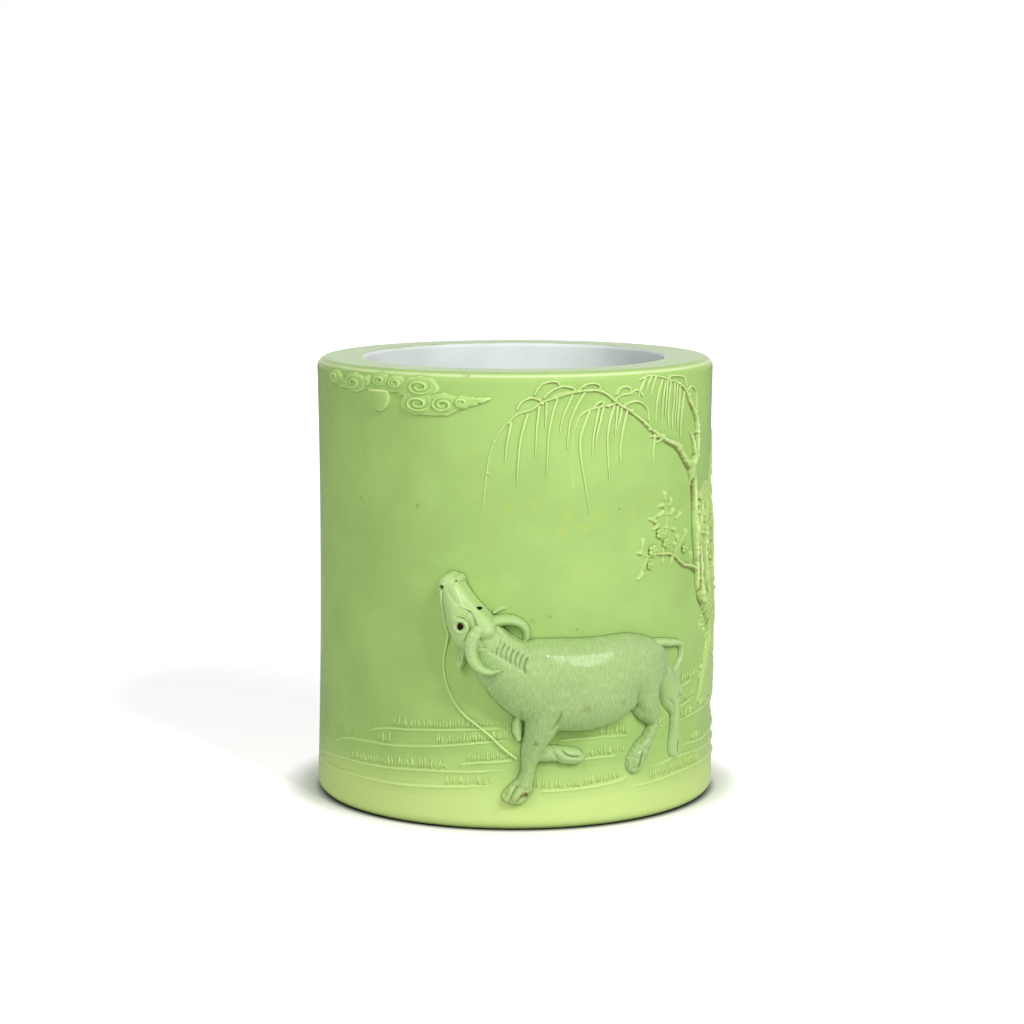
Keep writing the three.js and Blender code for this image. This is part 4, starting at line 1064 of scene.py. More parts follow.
    def build(self) -> list[Patch]:
        """Makes every piece of the buffalo, and gives the relief that glaze pools round."""
        return [self.torso(), self.far_side(), self.head_piece(), self.horns(), self.tail_piece()]

    def torso(self) -> Patch:
        """Models the barrel, neck and near legs as one hide."""
        patch = Patch((-18, 5), (50, 64), 0.25)
        patch.add(self.body, flat=2.3)
        patch.add(self.neck, 1.6)
        patch.add(self.near_foreleg, 1.0)
        patch.add(self.near_hind_leg, 1.4)
        self._muscles(patch)
        self._folds(patch)
        self._near_hooves(patch)
        self._marks(patch)
        patch.soften(0.2)
        nodes = ("buffalo_body", "buffalo_neck", "near_foreleg", "near_hind_leg")
        patch.piece("buffalo_hide", Palette.coat, nodes, 0.4, self._hair(patch))
        return patch

    def _hair(self, patch: Patch) -> np.ndarray:
        """Gives which way the hair lies: it falls from the back and sweeps under the belly."""
        sweep = (patch.girth - 18) / 24
        across = patch.girth + 0.22 * (patch.z - 44) * sweep
        down = patch.z + 0.9 * sweep**2
        return np.stack([across * 3.3, down * 0.5, np.zeros_like(down)], -1)

    def _muscles(self, patch: Patch) -> None:
        """Swells the muscles, each a girth, z, half width, half height and rise, and creases the skin."""
        swells = (
            (5.5, 40, 5.5, 9, 0.5),
            (17, 36, 11, 5, 0.35),
            (35, 46, 4.5, 5.5, 0.45),
            (31.5, 38, 2.2, 5, -0.55),
            (12.4, 38, 1.4, 9, -0.35),
            (24, 52, 8, 1.6, 0.25),
            (8, 52.4, 4, 2, 0.35),
        )
        for girth, z, wide, high, rise in swells:
            swell = np.exp(-(((patch.girth - girth) / wide) ** 2) - ((patch.z - z) / high) ** 2)
            patch.height = np.where(patch.height > 1, patch.height + rise * swell, patch.height)
        patch.crease([(1.2, 37.6), (1.8, 33.4), (2.0, 29.4), (2.2, 26)], 0.5, 0.7)
        patch.crease([(11.6, 36), (10.2, 32), (8.8, 29.4)], 0.6, 0.6)
        patch.crease([(32.6, 41), (33.2, 37), (35, 33.6), (37.6, 31)], 0.6, 0.6)
        patch.crease([(42.6, 30), (41.6, 26.4), (40.2, 23.2)], 0.4, 0.4)
        patch.crease([(43.2, 48), (42.6, 43), (43.2, 38)], 0.7, 0.35)

    def _folds(self, patch: Patch) -> None:
        """Cuts the folds of skin where the neck turns."""
        for k in range(9):
            girth = -6.6 + 1.12 * k
            top = 57.8 - 0.78 * k
            bends = ((1.1, 0), (0.1, 1.8), (-0.2, 3.6), (0.3, 5))
            patch.crease([(girth + aside, top - down) for aside, down in bends], 0.36, 1.0)

    def _near_hooves(self, patch: Patch) -> None:
        """Cuts the clefts and rings of the near hooves."""
        patch.crease([(1.2, 14.2), (-0.4, 12), (-1.2, 9.8), (-1.3, 8)], 0.34, 1.0)
        patch.crease([(4.4, 13.2), (2.6, 12.4), (0.4, 13.6), (-1.4, 13.0)], 0.3, 0.4)
        for k in range(4):
            patch.crease([(2.8 - 0.5 * k, 11.6 - 0.7 * k), (0.8 - 0.4 * k, 10.4 - 0.6 * k)], 0.22, 0.7)
            patch.crease([(-1.4 - 0.4 * k, 12.2 - 0.6 * k), (-3.2 - 0.1 * k, 10.8 - 0.5 * k)], 0.22, 0.7)
        patch.crease([(36.6, 21), (35.8, 18.4), (35, 15.2)], 0.34, 1.0)
        patch.crease([(39.6, 21.2), (36.8, 21.6), (34.0, 20.4)], 0.3, 0.4)
        for k in range(4):
            patch.crease([(33.2, 19.6 - k), (34.8, 18.8 - k)], 0.22, 0.7)
            patch.crease([(36.6, 18.8 - k), (38.6, 19.4 - k)], 0.22, 0.7)
        patch.crease([(4.4, 24.6), (3.2, 22.8), (3.4, 20.8)], 0.7, 0.35)

    def _marks(self, patch: Patch) -> None:
        """Lets iron show in spots, each a girth, z, square of its reach and share."""
        for girth, z, reach, share in (
            (2.9, 11.2, 0.8, 1.0),
            (5, 26.5, 0.6, 0.7),
            (17.4, 36.2, 1.6, 0.3),
            (27.6, 37, 0.5, 0.6),
        ):
            patch.iron = np.maximum(patch.iron, share * np.exp(-(patch.away(girth, z) ** 2) / reach))

    def far_side(self) -> Patch:
        """Models the legs on the far side."""
        patch = Patch((-4, 12), (56, 47), 0.25)
        for leg in (self.far_hind_leg, self.far_forearm, self.far_knee):
            patch.add(leg)
        for k in range(5):
            patch.crease([(13.2 + 0.9 * k, 20.4), (12.9 + 0.9 * k, 19), (12.7 + 0.9 * k, 17.8)], 0.22, 0.4)
            patch.crease([(49.3 + 0.9 * k, 21.2), (49.1 + 0.9 * k, 18.4)], 0.2, 0.35)
        patch.crease([(12.4, 25), (13, 22.8), (14.8, 21.6), (18.6, 21.2)], 0.34, 0.9)
        patch.crease([(9.6, 25), (10.4, 22.6), (11.6, 20.6), (11.4, 18.6)], 0.4, 0.6)
        patch.crease([(51.2, 22.4), (50.9, 19.8), (50.8, 17)], 0.25, 0.7)
        patch.crease([(46.2, 34.6), (48.8, 32.8), (49.6, 29.6)], 0.4, 0.5)
        patch.crease([(52.6, 36), (51.4, 32.4), (51.9, 28)], 0.4, 0.4)
        patch.soften(0.2)
        patch.piece("far_legs", Palette.hide, ("far_hind_leg", "far_forearm", "far_knee"), 0.45)
        return patch

    def head_piece(self) -> Patch:
        """Models the head and ears: poll, nostrils and brow, lids, cheeks, mouth and ears."""
        patch = Patch((-24, 43), (2, 77), 0.18)
        patch.add(self.head, flat=2.5)
        patch.add(self.poll, 1.4)
        patch.add([(-18.3, 70.5, 1.25, 1.7, 5.8), (-18, 70.9, 1.2, 1.7, 5.9)], 0.6)
        patch.add([(-15.4, 72, 1.2, 1.5, 5.6), (-14.9, 72.3, 1.1, 1.4, 5.4)], 0.6)
        patch.add([(-13.4, 60.2, 1.9, 1.3, 8.2), (-13.2, 59.8, 1.9, 1.3, 8.2)], 0.5)
        for k in range(4):
            lid = [
                (-14.6 + 0.35 * k, 62.8 + 0.75 * k),
                (-12.2 + 0.5 * k, 62.2 + 0.5 * k),
                (-10.9 + 0.6 * k, 60),
                (-11.2 + 0.6 * k, 57.4),
                (-12.4 + 0.5 * k, 55.2),
            ]
            patch.crease(lid, 0.25, 1.1)
        for k in range(5):
            jaw = (-9.4 + 0.3 * k, 57.4 - 0.8 * k)
            patch.crease([(-11.6, 56.6 - 0.9 * k), jaw, (-7.4 + 0.2 * k, 56.4 - 0.7 * k)], 0.26, 0.5)
        patch.pit(-18.3, 70.5, 0.6, 2.2, 0.35)
        patch.pit(-14.8, 72.2, 0.5, 1.5, 0.3)
        patch.pit(-13.1, 60.0, 1.15, 1.0, 0.35)
        patch.crease([(-19.9, 69.6), (-19.2, 67.4), (-18.4, 64.8), (-17.6, 62)], 0.22, 0.4)
        patch.crease([(-16.5, 70.4), (-15.6, 68.4), (-14, 65.8)], 0.5, 0.25)
        patch.crease([(-13.6, 69.2), (-12.2, 66.6), (-10.2, 64.4)], 0.3, 0.3)
        patch.add(self.near_ear)
        patch.add(self.far_ear)
        patch.crease([(-13.5, 53), (-14, 50.8), (-14.7, 48.2)], 0.34, 1.2)
        patch.crease([(-5.8, 62.6), (-4.4, 63.4), (-3, 63.7)], 0.2, 0.4)
        patch.soften(0.18)
        patch.piece("buffalo_face", Palette.hide, ("buffalo_head", "near_ear", "far_ear"), 0.22)
        self.eye("near", (-13.1, 60.0, 8.9), (0.85, 1.15))
        self.eye("far", (-9.0, 64.8, 5.6), (0.95, 0.45))
        return patch

    def horns(self) -> Patch:
        """Models both horns."""
        patch = Patch((-14, 44), (6, 65), 0.17)
        patch.add(self.near_horn, rings=0.34, pitch=0.85)
        patch.add(self.far_horn, rings=0.16, pitch=0.85)
        patch.soften(0.14)
        patch.piece("buffalo_horns", Palette.hide, ("near_horn", "far_horn"), 0.1)
        return patch

    def tail_piece(self) -> Patch:
        """Models the tail, its tuft and the fold of the rump."""
        patch = Patch((37, 31), (58, 56), 0.2)
        patch.add(self.tail)
        patch.add(self.rump_fold)
        for k in range(6):
            patch.crease([(50.6 + 0.5 * k, 42.4), (50.4 + 0.8 * k, 39), (52.6 + 0.5 * k, 35.6)], 0.18, 0.3)
            patch.crease([(46.0, 47.4 - k), (48.4, 47.0 - k)], 0.2, 0.3)
        patch.soften(0.2)
        patch.piece("buffalo_tail_tuft", Palette.hide, ("buffalo_tail", "rump_fold"), 0.45)
        return patch

    def eye(self, side: str, spot: tuple[float, float, float], size: tuple[float, float]) -> None:
        """Makes an eye as a low dome of enamel.

        Args:
            side: Which side it is on.
            spot: Girth and height of its middle, and how far that stands off the wall.
            size: Its half width and half height.
        """
        ball = bmesh.new()
        bmesh.ops.create_uvsphere(ball, u_segments=20, v_segments=8, radius=1.0)
        mesh = bpy.data.meshes.new(f"{side}_eyeball")
        ball.to_mesh(mesh)
        ball.free()
        depth = 0.8
        turn = Matrix.Rotation(spot[0] / CHART_RADIUS, 4, "Z") @ Matrix.Rotation(math.pi / 2, 4, "X")
        place = Matrix.Translation(wall_points(*spot))
        mesh.transform(place @ turn @ Matrix.Diagonal((size[0] * MM, size[1] * MM, depth * MM, 1.0)))
        wrap(f"{side}_eyeball", mesh, Palette.enamel, (f"{side}_eye",))


class Willow:
    """The old willow. Places are girth and z, stations girth, z, half width and height."""

    old_trunk: Places = [
        (73, 89, 6, 1.6), (72.6, 82, 7.2, 2.1), (72, 76, 7.8, 2.3), (71.6, 70, 7.8, 2.5),
        (72.2, 65, 7.2, 2.6), (74, 61, 6.2, 2.5), (77, 57.5, 5.4, 2.3), (79.4, 54, 5, 2.1),
        (81, 50, 4.6, 1.6), (82.4, 46, 4.8, 1.5), (84, 41, 5.2, 1.3), (85.6, 36, 5.8, 1.1),
        (86.6, 32, 6, 0.9),
    ]
    flutes: list[Places] = [
        [(62.2, 84, 0.9, 2), (62.6, 80, 1, 2.2), (63.4, 75, 0.9, 2), (64, 70, 0.8, 1.8),
         (64.6, 65, 0.7, 1.6), (66, 62, 0.3, 1.2)],
        [(66.8, 88, 0.6, 1.8), (65.2, 82, 0.8, 2), (64.6, 76, 0.8, 2.2), (65.6, 70.3, 0.9, 2.4),
         (65.7, 65.3, 0.9, 2.3), (67.6, 61.5, 0.8, 2.2), (71.7, 57.8, 0.6, 1.8)],
        [(70, 89, 0.6, 2), (68.4, 82, 0.8, 2.6), (67.6, 75, 0.8, 2.8), (68.3, 69.8, 0.9, 3),
         (68.8, 64.8, 0.9, 3), (71.7, 60.8, 0.8, 2.8), (74.9, 58, 0.6, 2.2)],
        [(74, 89, 0.7, 1.9), (73.2, 81, 0.9, 2.7), (72.2, 74, 0.9, 3.1), (71.6, 69.3, 1, 3.2),
         (72.7, 64.6, 1, 3.1), (75, 60.2, 0.8, 2.6), (78, 56, 0.6, 2)],
        [(76.6, 88, 0.7, 1.5), (76.4, 80, 0.9, 2.1), (76, 72, 0.9, 2.5), (76.4, 65, 0.9, 2.4),
         (78, 60, 0.8, 2)],
        [(80, 86, 0.6, 0.9), (80, 78, 0.8, 1.4), (79.6, 70, 0.8, 1.7), (80, 63, 0.7, 1.5)],
        [(66.4, 62.4, 1.5, 2.6), (67.6, 60.6, 1.6, 2.6), (69.4, 59.8, 1.2, 2.4)],
        [(66, 90.6, 0.4, 1.2), (67.2, 89.1, 0.5, 1.4), (64.9, 86.2, 0.5, 1.6)],
        [(67.4, 85.2, 0.5, 2), (70, 88, 0.5, 1.7), (71.4, 90.6, 0.3, 1.2)],
        [(72.3, 86.9, 0.6, 2), (74, 90, 0.5, 1.6), (75.6, 92.6, 0.3, 1)],
        [(76, 86, 0.6, 1.6), (78.4, 89.4, 0.5, 1.1), (80.4, 91, 0.3, 0.7)],
    ]
    stem: Places = [
        (63.8, 78, 1.4, 2.1), (63.4, 80.6, 1.7, 2.4), (63.1, 82.6, 1.9, 2.4), (62.5, 84.8, 1.25, 2),
        (62, 89.1, 1.05, 1.8), (61.5, 92, 1.1, 1.8), (61.2, 94.6, 1.35, 1.9), (60.8, 97, 1.5, 1.9),
        (60.2, 99.4, 1.8, 1.9), (60, 101, 1.5, 1.8),
    ]
    spray: Places = [
        (66.4, 91.2), (67.8, 90), (65.4, 88.4), (69.6, 91.6), (71, 89.2), (72.6, 92.2), (74.4, 90.4),
        (75.8, 93), (77.4, 90.8), (68.6, 88), (64.2, 89.2),
    ]
    grain: list[Places] = [
        [(63.6, 79), (64.1, 74), (64.9, 68), (65.4, 62)],
        [(66.6, 86), (66.2, 80), (66.3, 74), (67, 68), (67.2, 64), (69.6, 60)],
        [(71.2, 88), (70.4, 80), (69.8, 74), (70, 68), (71, 63), (73.6, 59)],
        [(75.2, 88), (74.8, 80), (74.2, 73), (74, 67), (75.4, 62)],
        [(78.2, 86), (78.2, 78), (77.8, 70), (78.2, 63)],
        [(60.2, 98), (60.4, 93), (61.1, 87)],
        [(62.4, 99), (62.2, 94), (62.7, 88)],
        [(77, 57), (79.6, 52), (81.6, 46), (83, 40)],
        [(79.4, 58), (82, 52), (84, 45), (86, 38)],
        [(68.2, 66), (69.4, 60), (70.2, 56)],
        [(66, 60), (67.4, 57), (69.4, 55.6)],
        [(72, 58), (71.4, 52), (69.6, 46), (67.4, 40), (65.6, 34)],
        [(75, 57), (75.2, 50), (73.6, 43), (71.6, 37), (70, 32)],
    ]
    knots: Places = [(63.4, 82, 0.8), (67, 78.6, 1), (74.4, 82.5, 1.1), (70.6, 71, 0.9), (76.4, 63.6, 1)]
    left_limbs: list[Places] = [
        [
            (60.2, 100.4, 1.7, 1.9), (57.6, 101.6, 1.25, 1.8), (55, 104.2, 1.15, 1.7),
            (52.4, 107, 1.15, 1.6), (48.4, 108.7, 0.85, 1.4), (45, 110.2, 0.68, 1.3),
            (42.2, 112, 0.64, 1.2),
            *tapered(
                [(40.3, 113.2), (37.3, 115.7), (33.2, 118.5), (29.9, 120.4), (28.3, 121.6), (26.1, 123.4),
                 (23.7, 124.6), (20.8, 124.9), (17.3, 124.6), (14.5, 124.1), (11.2, 123.1), (8.5, 122.3),
                 (6.9, 121.7), (5.3, 120.4), (3.7, 119.5), (1, 118.7), (-1.7, 116.5), (-3.8, 114.2),
                 (-5.7, 110.9), (-7.1, 106.9), (-7.9, 101.9), (-8.5, 96.8), (-8.9, 92.3)],
                (0.6, 1.1),
                (0.26, 0.45),
            ),
        ],
        [(28.3, 120.8, 0.45, 0.85), (26.2, 120.4, 0.42, 0.79), (23.2, 120, 0.4, 0.74),
         (20.2, 119.2, 0.38, 0.68), (18, 117.8, 0.35, 0.63), (16.6, 114.8, 0.33, 0.57),
         (16, 111.2, 0.3, 0.52), (15.9, 106.7, 0.28, 0.46), (15.9, 102.8, 0.25, 0.41),
         (16.3, 98, 0.23, 0.35)],
        [(45.3, 109.9, 0.5, 1.2), (42.6, 110.6, 0.4, 0.9), (40, 110.6, 0.2, 0.5)],
        [(44.9, 109.6, 0.45, 1.1), (43.2, 109, 0.35, 0.8), (41.9, 108.9, 0.2, 0.5)],
    ]
    right_limbs: list[Places] = [
        [(60.6, 101, 1.5, 1.9), (62.6, 103.4, 0.85, 1.7), (63.4, 107, 0.7, 1.6), (63.3, 110, 0.68, 1.5),
         (62.8, 113.4, 0.65, 1.4), (61.2, 116, 0.62, 1.3), (58.8, 118.7, 0.6, 1.2), (57, 121.3, 0.6, 1.1),
         (55.2, 123.5, 0.62, 1), (52.4, 124.9, 0.55, 0.95), (49.6, 126, 0.48, 0.85), (46.6, 126, 0.4, 0.75),
         (44.7, 126.6, 0.34, 0.6)],
        [(61.9, 104, 0.6, 1.5), (60.4, 108.4, 0.5, 1.2), (57.8, 111.8, 0.2, 0.6)],
    ]
    back_limbs: list[Places] = [
        [(77, 89, 1.4, 1.4), (80, 95.6, 1.2, 0.8), (84.6, 101.6, 1.1, 0.55), (90.6, 106, 1.1, 0.6),
         (97.2, 108.4, 0.95, 1.1), (103.4, 108.6, 0.75, 1.2), (108.6, 106.4, 0.6, 1),
         (112, 101.8, 0.5, 0.9), (113.8, 95, 0.45, 0.8)],
    ]
    left_loops: list[Places] = [
        [(0.5, 120.1), (1.3, 121.5), (2.9, 122.7), (4.8, 123.1), (6.7, 122.4)],
        [(5.3, 124), (6.1, 125.6), (7.5, 127), (9.6, 127.6), (11.5, 127.4), (12.2, 126.4)],
        [(7.9, 123.1), (8.8, 124.2), (11, 125.6), (13.2, 126.2), (15.4, 125.8), (16.5, 125)],
        [(9.9, 123.1), (11.8, 123.9), (15.2, 124.6), (17.2, 124.8)],
        [(17.4, 125), (19.1, 126.3), (21.1, 126.8), (22.9, 126.5), (23.8, 125.6), (23.2, 124.7)],
        [(28.9, 123.4), (29.5, 124.7), (31, 125.4), (32.6, 125.3), (33.5, 124.4), (33, 123.4),
         (30.7, 123.2), (28.6, 122.2)],
        [(33.3, 123.4), (35, 124.3), (36.7, 123.8), (37.6, 122.6)],
        [(30.7, 119.9), (32.7, 120.7), (35.4, 121.1), (37.9, 120.1), (39.6, 118.1), (40, 115.5)],
        [(21.6, 119.6), (22.7, 120.9), (23.9, 121.5), (25.1, 121.2), (24.2, 120.4)],
    ]
    right_loops: list[Places] = [
        [(48.9, 126.2), (44.7, 127.4), (40.1, 128.1), (36.6, 127.2)],
        [(47.2, 126.4), (48.7, 127.4), (52.1, 127.2), (55.1, 126.5), (56.4, 124)],
        [(57.2, 122.6), (59, 123.7), (61.2, 122.8), (62.6, 120.7), (62.9, 116.8)],
    ]
    left_fronds: list[Places] = [
        [(-1.1, 116.4), (-1.7, 113.1), (-2.2, 110.3), (-2.8, 105.5)],
        [(3.4, 118.8), (2.2, 114.8), (1.3, 110.3), (0.8, 104.7), (0.5, 99.1)],
        [(6.5, 120.9), (6.2, 117.5), (5.8, 114.2), (5.5, 106.3)],
        [(8.5, 121.9), (8.4, 119.2), (8.2, 114.4)],
        [(11.5, 122.8), (10.5, 119.7), (9.5, 115.2), (8.9, 109.1), (8.6, 100.7)],
        [(15.8, 123.9), (14.1, 120.2), (13, 117.4), (12.2, 113.5)],
        [(19.2, 124.4), (16.9, 120.6), (15.3, 116.8), (14.6, 112.9), (14.4, 108.9)],
        [(20.6, 119), (19, 115), (18, 111.1), (18.2, 106.6), (19.4, 99.2), (20.9, 90.1)],
        [(23.4, 119.8), (22.3, 114.3), (21.8, 110.9), (21.6, 106.4)],
        [(24.8, 120), (23.5, 114.8), (22.8, 112), (22.6, 109.5)],
        [(28.1, 120.4), (27, 116.9), (26.2, 112.4), (26.3, 106.7), (26.9, 99.5)],
        [(29.2, 120.2), (28.9, 116.2), (28.5, 112)],
        [(30.6, 119.9), (29.7, 115.6), (29, 113.4)],
        [(32.3, 118.8), (31.2, 114.4), (30.4, 109.9), (30.2, 106.5), (30.5, 103.7)],
        [(42.4, 111.8), (42, 108), (41.7, 103)],
    ]
    right_fronds: list[Places] = [
        [(40.9, 128), (39.7, 126.4), (38.9, 124.1)],
        [(42.5, 127.8), (41.3, 125.3), (40.5, 122.6)],
        [(44.9, 126.5), (43.7, 123.3), (42.8, 119.1), (42.6, 114.3)],
        [(46.3, 125.9), (45.6, 122.2), (45.2, 117.9), (44.9, 115.1)],
        [(48.5, 125.8), (47.9, 121.1), (47.7, 116.8), (48.2, 112.5)],
        [(50.4, 125.4), (50.2, 119.4), (49.6, 115.7), (49.7, 112.3)],
        [(52.9, 124.4), (52.5, 118.8), (52.1, 114.5), (52.5, 111.6)],
        [(55.3, 122.5), (54.2, 117.2), (53.7, 112.9), (53.6, 109.6)],
        [(47.2, 126), (46.8, 120.8), (46.4, 116.2)],
        [(51.6, 125), (51.3, 118.4), (50.8, 114.2)],
        [(38.4, 127.6), (36.8, 124.4), (36, 122)],
    ]
    back_fronds: list[Places] = [
        [(94.4, 107), (93, 99), (92.6, 90), (92.9, 80)],
        [(97.8, 108), (96.4, 101), (96, 93)],
        [(101.2, 108.2), (99.8, 100), (99.4, 91), (99.6, 83)],
        [(104.4, 108), (103.4, 101), (103, 94)],
        [(107.6, 106.4), (106.8, 99), (106.6, 90), (106.9, 78)],
        [(111, 103), (110.4, 96), (110.6, 88)],
    ]

    def build(self) -> list[Patch]:
        """Makes every piece of the willow, and gives the relief that glaze pools round."""
        pools = [
            self.trunk(),
            self.limbs("left", Patch((-12, 88), (63, 129), 0.18), self.left_limbs, self.left_loops, 21),
            self.limbs("right", Patch((34, 96), (66, 129.4), 0.18), self.right_limbs, self.right_loops, 22),
            self.limbs("back", Patch((74, 86), (118, 112), 0.25), self.back_limbs, [], 23),
        ]
        self.fronds("left", self.left_fronds)
        self.fronds("right", self.right_fronds)
        self.fronds("back", self.back_fronds)
        return pools

    def trunk(self) -> Patch:
        """Models the gnarled trunk and the slender stem that leaves it."""
        patch = Patch((57, 26), (96, 103), 0.2)
        patch.add(self.old_trunk)
        for flute in self.flutes:
            patch.add(flute, 0.7)
        patch.add(self.stem, 0.4)
        for girth, z in self.spray:
            patch.add([(girth, z, 0.5, 1.1), (girth + 0.5, z + 1.1, 0.25, 0.8)], 0.2)
        patch.roughen(0.3, 0.45, 11)
        patch.roughen(0.3, 0.22, 12)
        for line in self.grain:
            patch.crease(line, 0.34, 1.3, 0.75)
        for knot in self.knots:
            patch.pit(*knot, 1.2, 0.5)
        patch.soften(0.14)
        patch.rust(1.3)
        patch.piece("willow_bark", Palette.relief, ("willow_trunk", "willow_left_stem"), 0.6)
        return patch

    def limbs(self, side: str, patch: Patch, limbs: list[Places], loops: list[Places], seed: int) -> Patch:
        """Models the limbs of one side, with the loops of young twig that stand on them.

        Args:
            side: Which side they grow to.
            patch: The patch that they lie on.
            limbs: Their stations.
            loops: Places along each loop.
            seed: Seed of their unevenness.

        Returns:
            The patch.
        """
        rng = np.random.default_rng(seed)
        for limb in limbs:
            patch.add(limb, 0.2)
            for girth, z, width, height in limb[1:-2:2]:
                shift = rng.uniform(-0.35, 0.35, 2)
                knot = (girth + shift[0], z + shift[1], width * 1.12, height * 1.12)
                patch.add([knot, (knot[0] + 0.3, *knot[1:])], 0.2)
        for loop in loops:
            patch.add([(*place, 0.42, 0.8) for place in loop], 0.15)
        patch.roughen(0.4, 0.3, seed)
        patch.soften(0.1)
        patch.rust(0.8)
        patch.piece(f"willow_{side}_limbs", Palette.relief, (), 0.6)
        return patch

    def fronds(self, side: str, fronds: list[Places]) -> None:
        """Makes the hanging fronds of one side, each thinner towards its tip.

        Args:
            side: Which side they hang on.
            fronds: Places along each frond.
        """
        lines = []
        for frond in fronds:
            last = len(frond) - 1
            lines.append([(*place, 0.4 * (1 - 0.6 * (i / last) ** 2), 0.2) for i, place in enumerate(frond)])
        strands(f"willow_{side}_fronds", lines, Palette.frond, (f"willow_{side}_bough",))


class Prunus:
    """The prunus bough, measured up from its own level."""

    branch: Places = [
        (62.8, -1, 0.8, 1.9), (59.6, 0.4, 0.7, 1.6), (56.4, 1, 0.6, 1.4), (53.8, 2.4, 0.55, 1.3),
        (51.4, 4.2, 0.5, 1.2), (49, 5.3, 0.5, 1.1), (46.2, 5.5, 0.45, 1), (43.4, 5.7, 0.4, 0.9),
        (40.4, 5.4, 0.35, 0.8), (38, 6.6, 0.25, 0.6),
    ]
    sprig: Places = [
        (46.4, 5.4, 0.4, 0.7), (47, 9.6, 0.35, 0.7), (48, 13, 0.3, 0.7), (48.2, 17, 0.3, 0.7),
        (47.6, 20, 0.25, 0.6),
    ]
    blossoms: Places = [(44.9, 11.6), (47.4, 8.6), (56.4, 5.8), (42, 6.9), (41, 2.7)]
    leaves: list[Places] = [
        [(36.6, -0.8), (38.2, 0.6)],
        [(49.8, 2.4), (50, 3.6)],
        [(46, 2.6), (46, 3.8)],
        [(52, 6.9), (51.4, 8)],
        [(53, 8.4), (52.8, 9.8)],
        [(57, 9.8), (57.2, 10.9)],
        [(60, 2.6), (60.2, 3.9)],
        [(38, 8.4), (38.4, 10.2)],
        [(36.4, 6.8), (37.6, 6.6)],
        [(40.6, 16.2), (43, 15.2)],
        [(42.6, 13), (44, 14)],
        [(52, 15.2), (54, 16.4)],
        [(50, 12.4), (51.4, 12)],
        [(49, 19.2), (49.4, 21)],
        [(46.9, 21.2), (46.7, 23)],
        [(44.6, 19.4), (46.2, 19.6)],
        [(44.4, 16.6), (46, 17.6)],
        [(49.2, 16.6), (50.4, 17.8)],
    ]

    def build(self) -> list[Patch]:
        """Makes the bough, its leaves and its blossoms, and gives the relief that glaze pools round."""
        patch = Patch((34, 67), (66, 97), 0.22)
        wood = from_bough([*self.branch, *self.sprig])
        patch.add(from_bough(self.branch))
        patch.add(from_bough(self.sprig), 0.3)
        for places in self.leaves:
            root, tip = from_bough(places)
            start = min(wood, key=lambda spot: math.dist(spot[:2], root))
            patch.add([(*start[:2], 0.3, 0.6), (*root, 0.3, 0.6)], 0.2)
            patch.add([(*root, 0.5, 0.8), (*tip, 0.85, 1.0)], 0.2)
        patch.roughen(0.2, 0.5, 31)
        patch.soften(0.16)
        patch.rust(0.8)
        patch.piece("prunus_wood_and_leaves", Palette.relief, ("prunus_bough",), 0.5)
        spots = [(*place, 0.55) for place in from_bough(self.blossoms)]
        nodes = tuple(f"prunus_blossom_{i + 1}" for i in range(len(spots)))
        tree = scatter_tree("blossoms", blossom, 5, 0.1, math.pi / 2)
        scattered("prunus_blossoms", tree, spots, Palette.relief, nodes)
        return [patch]


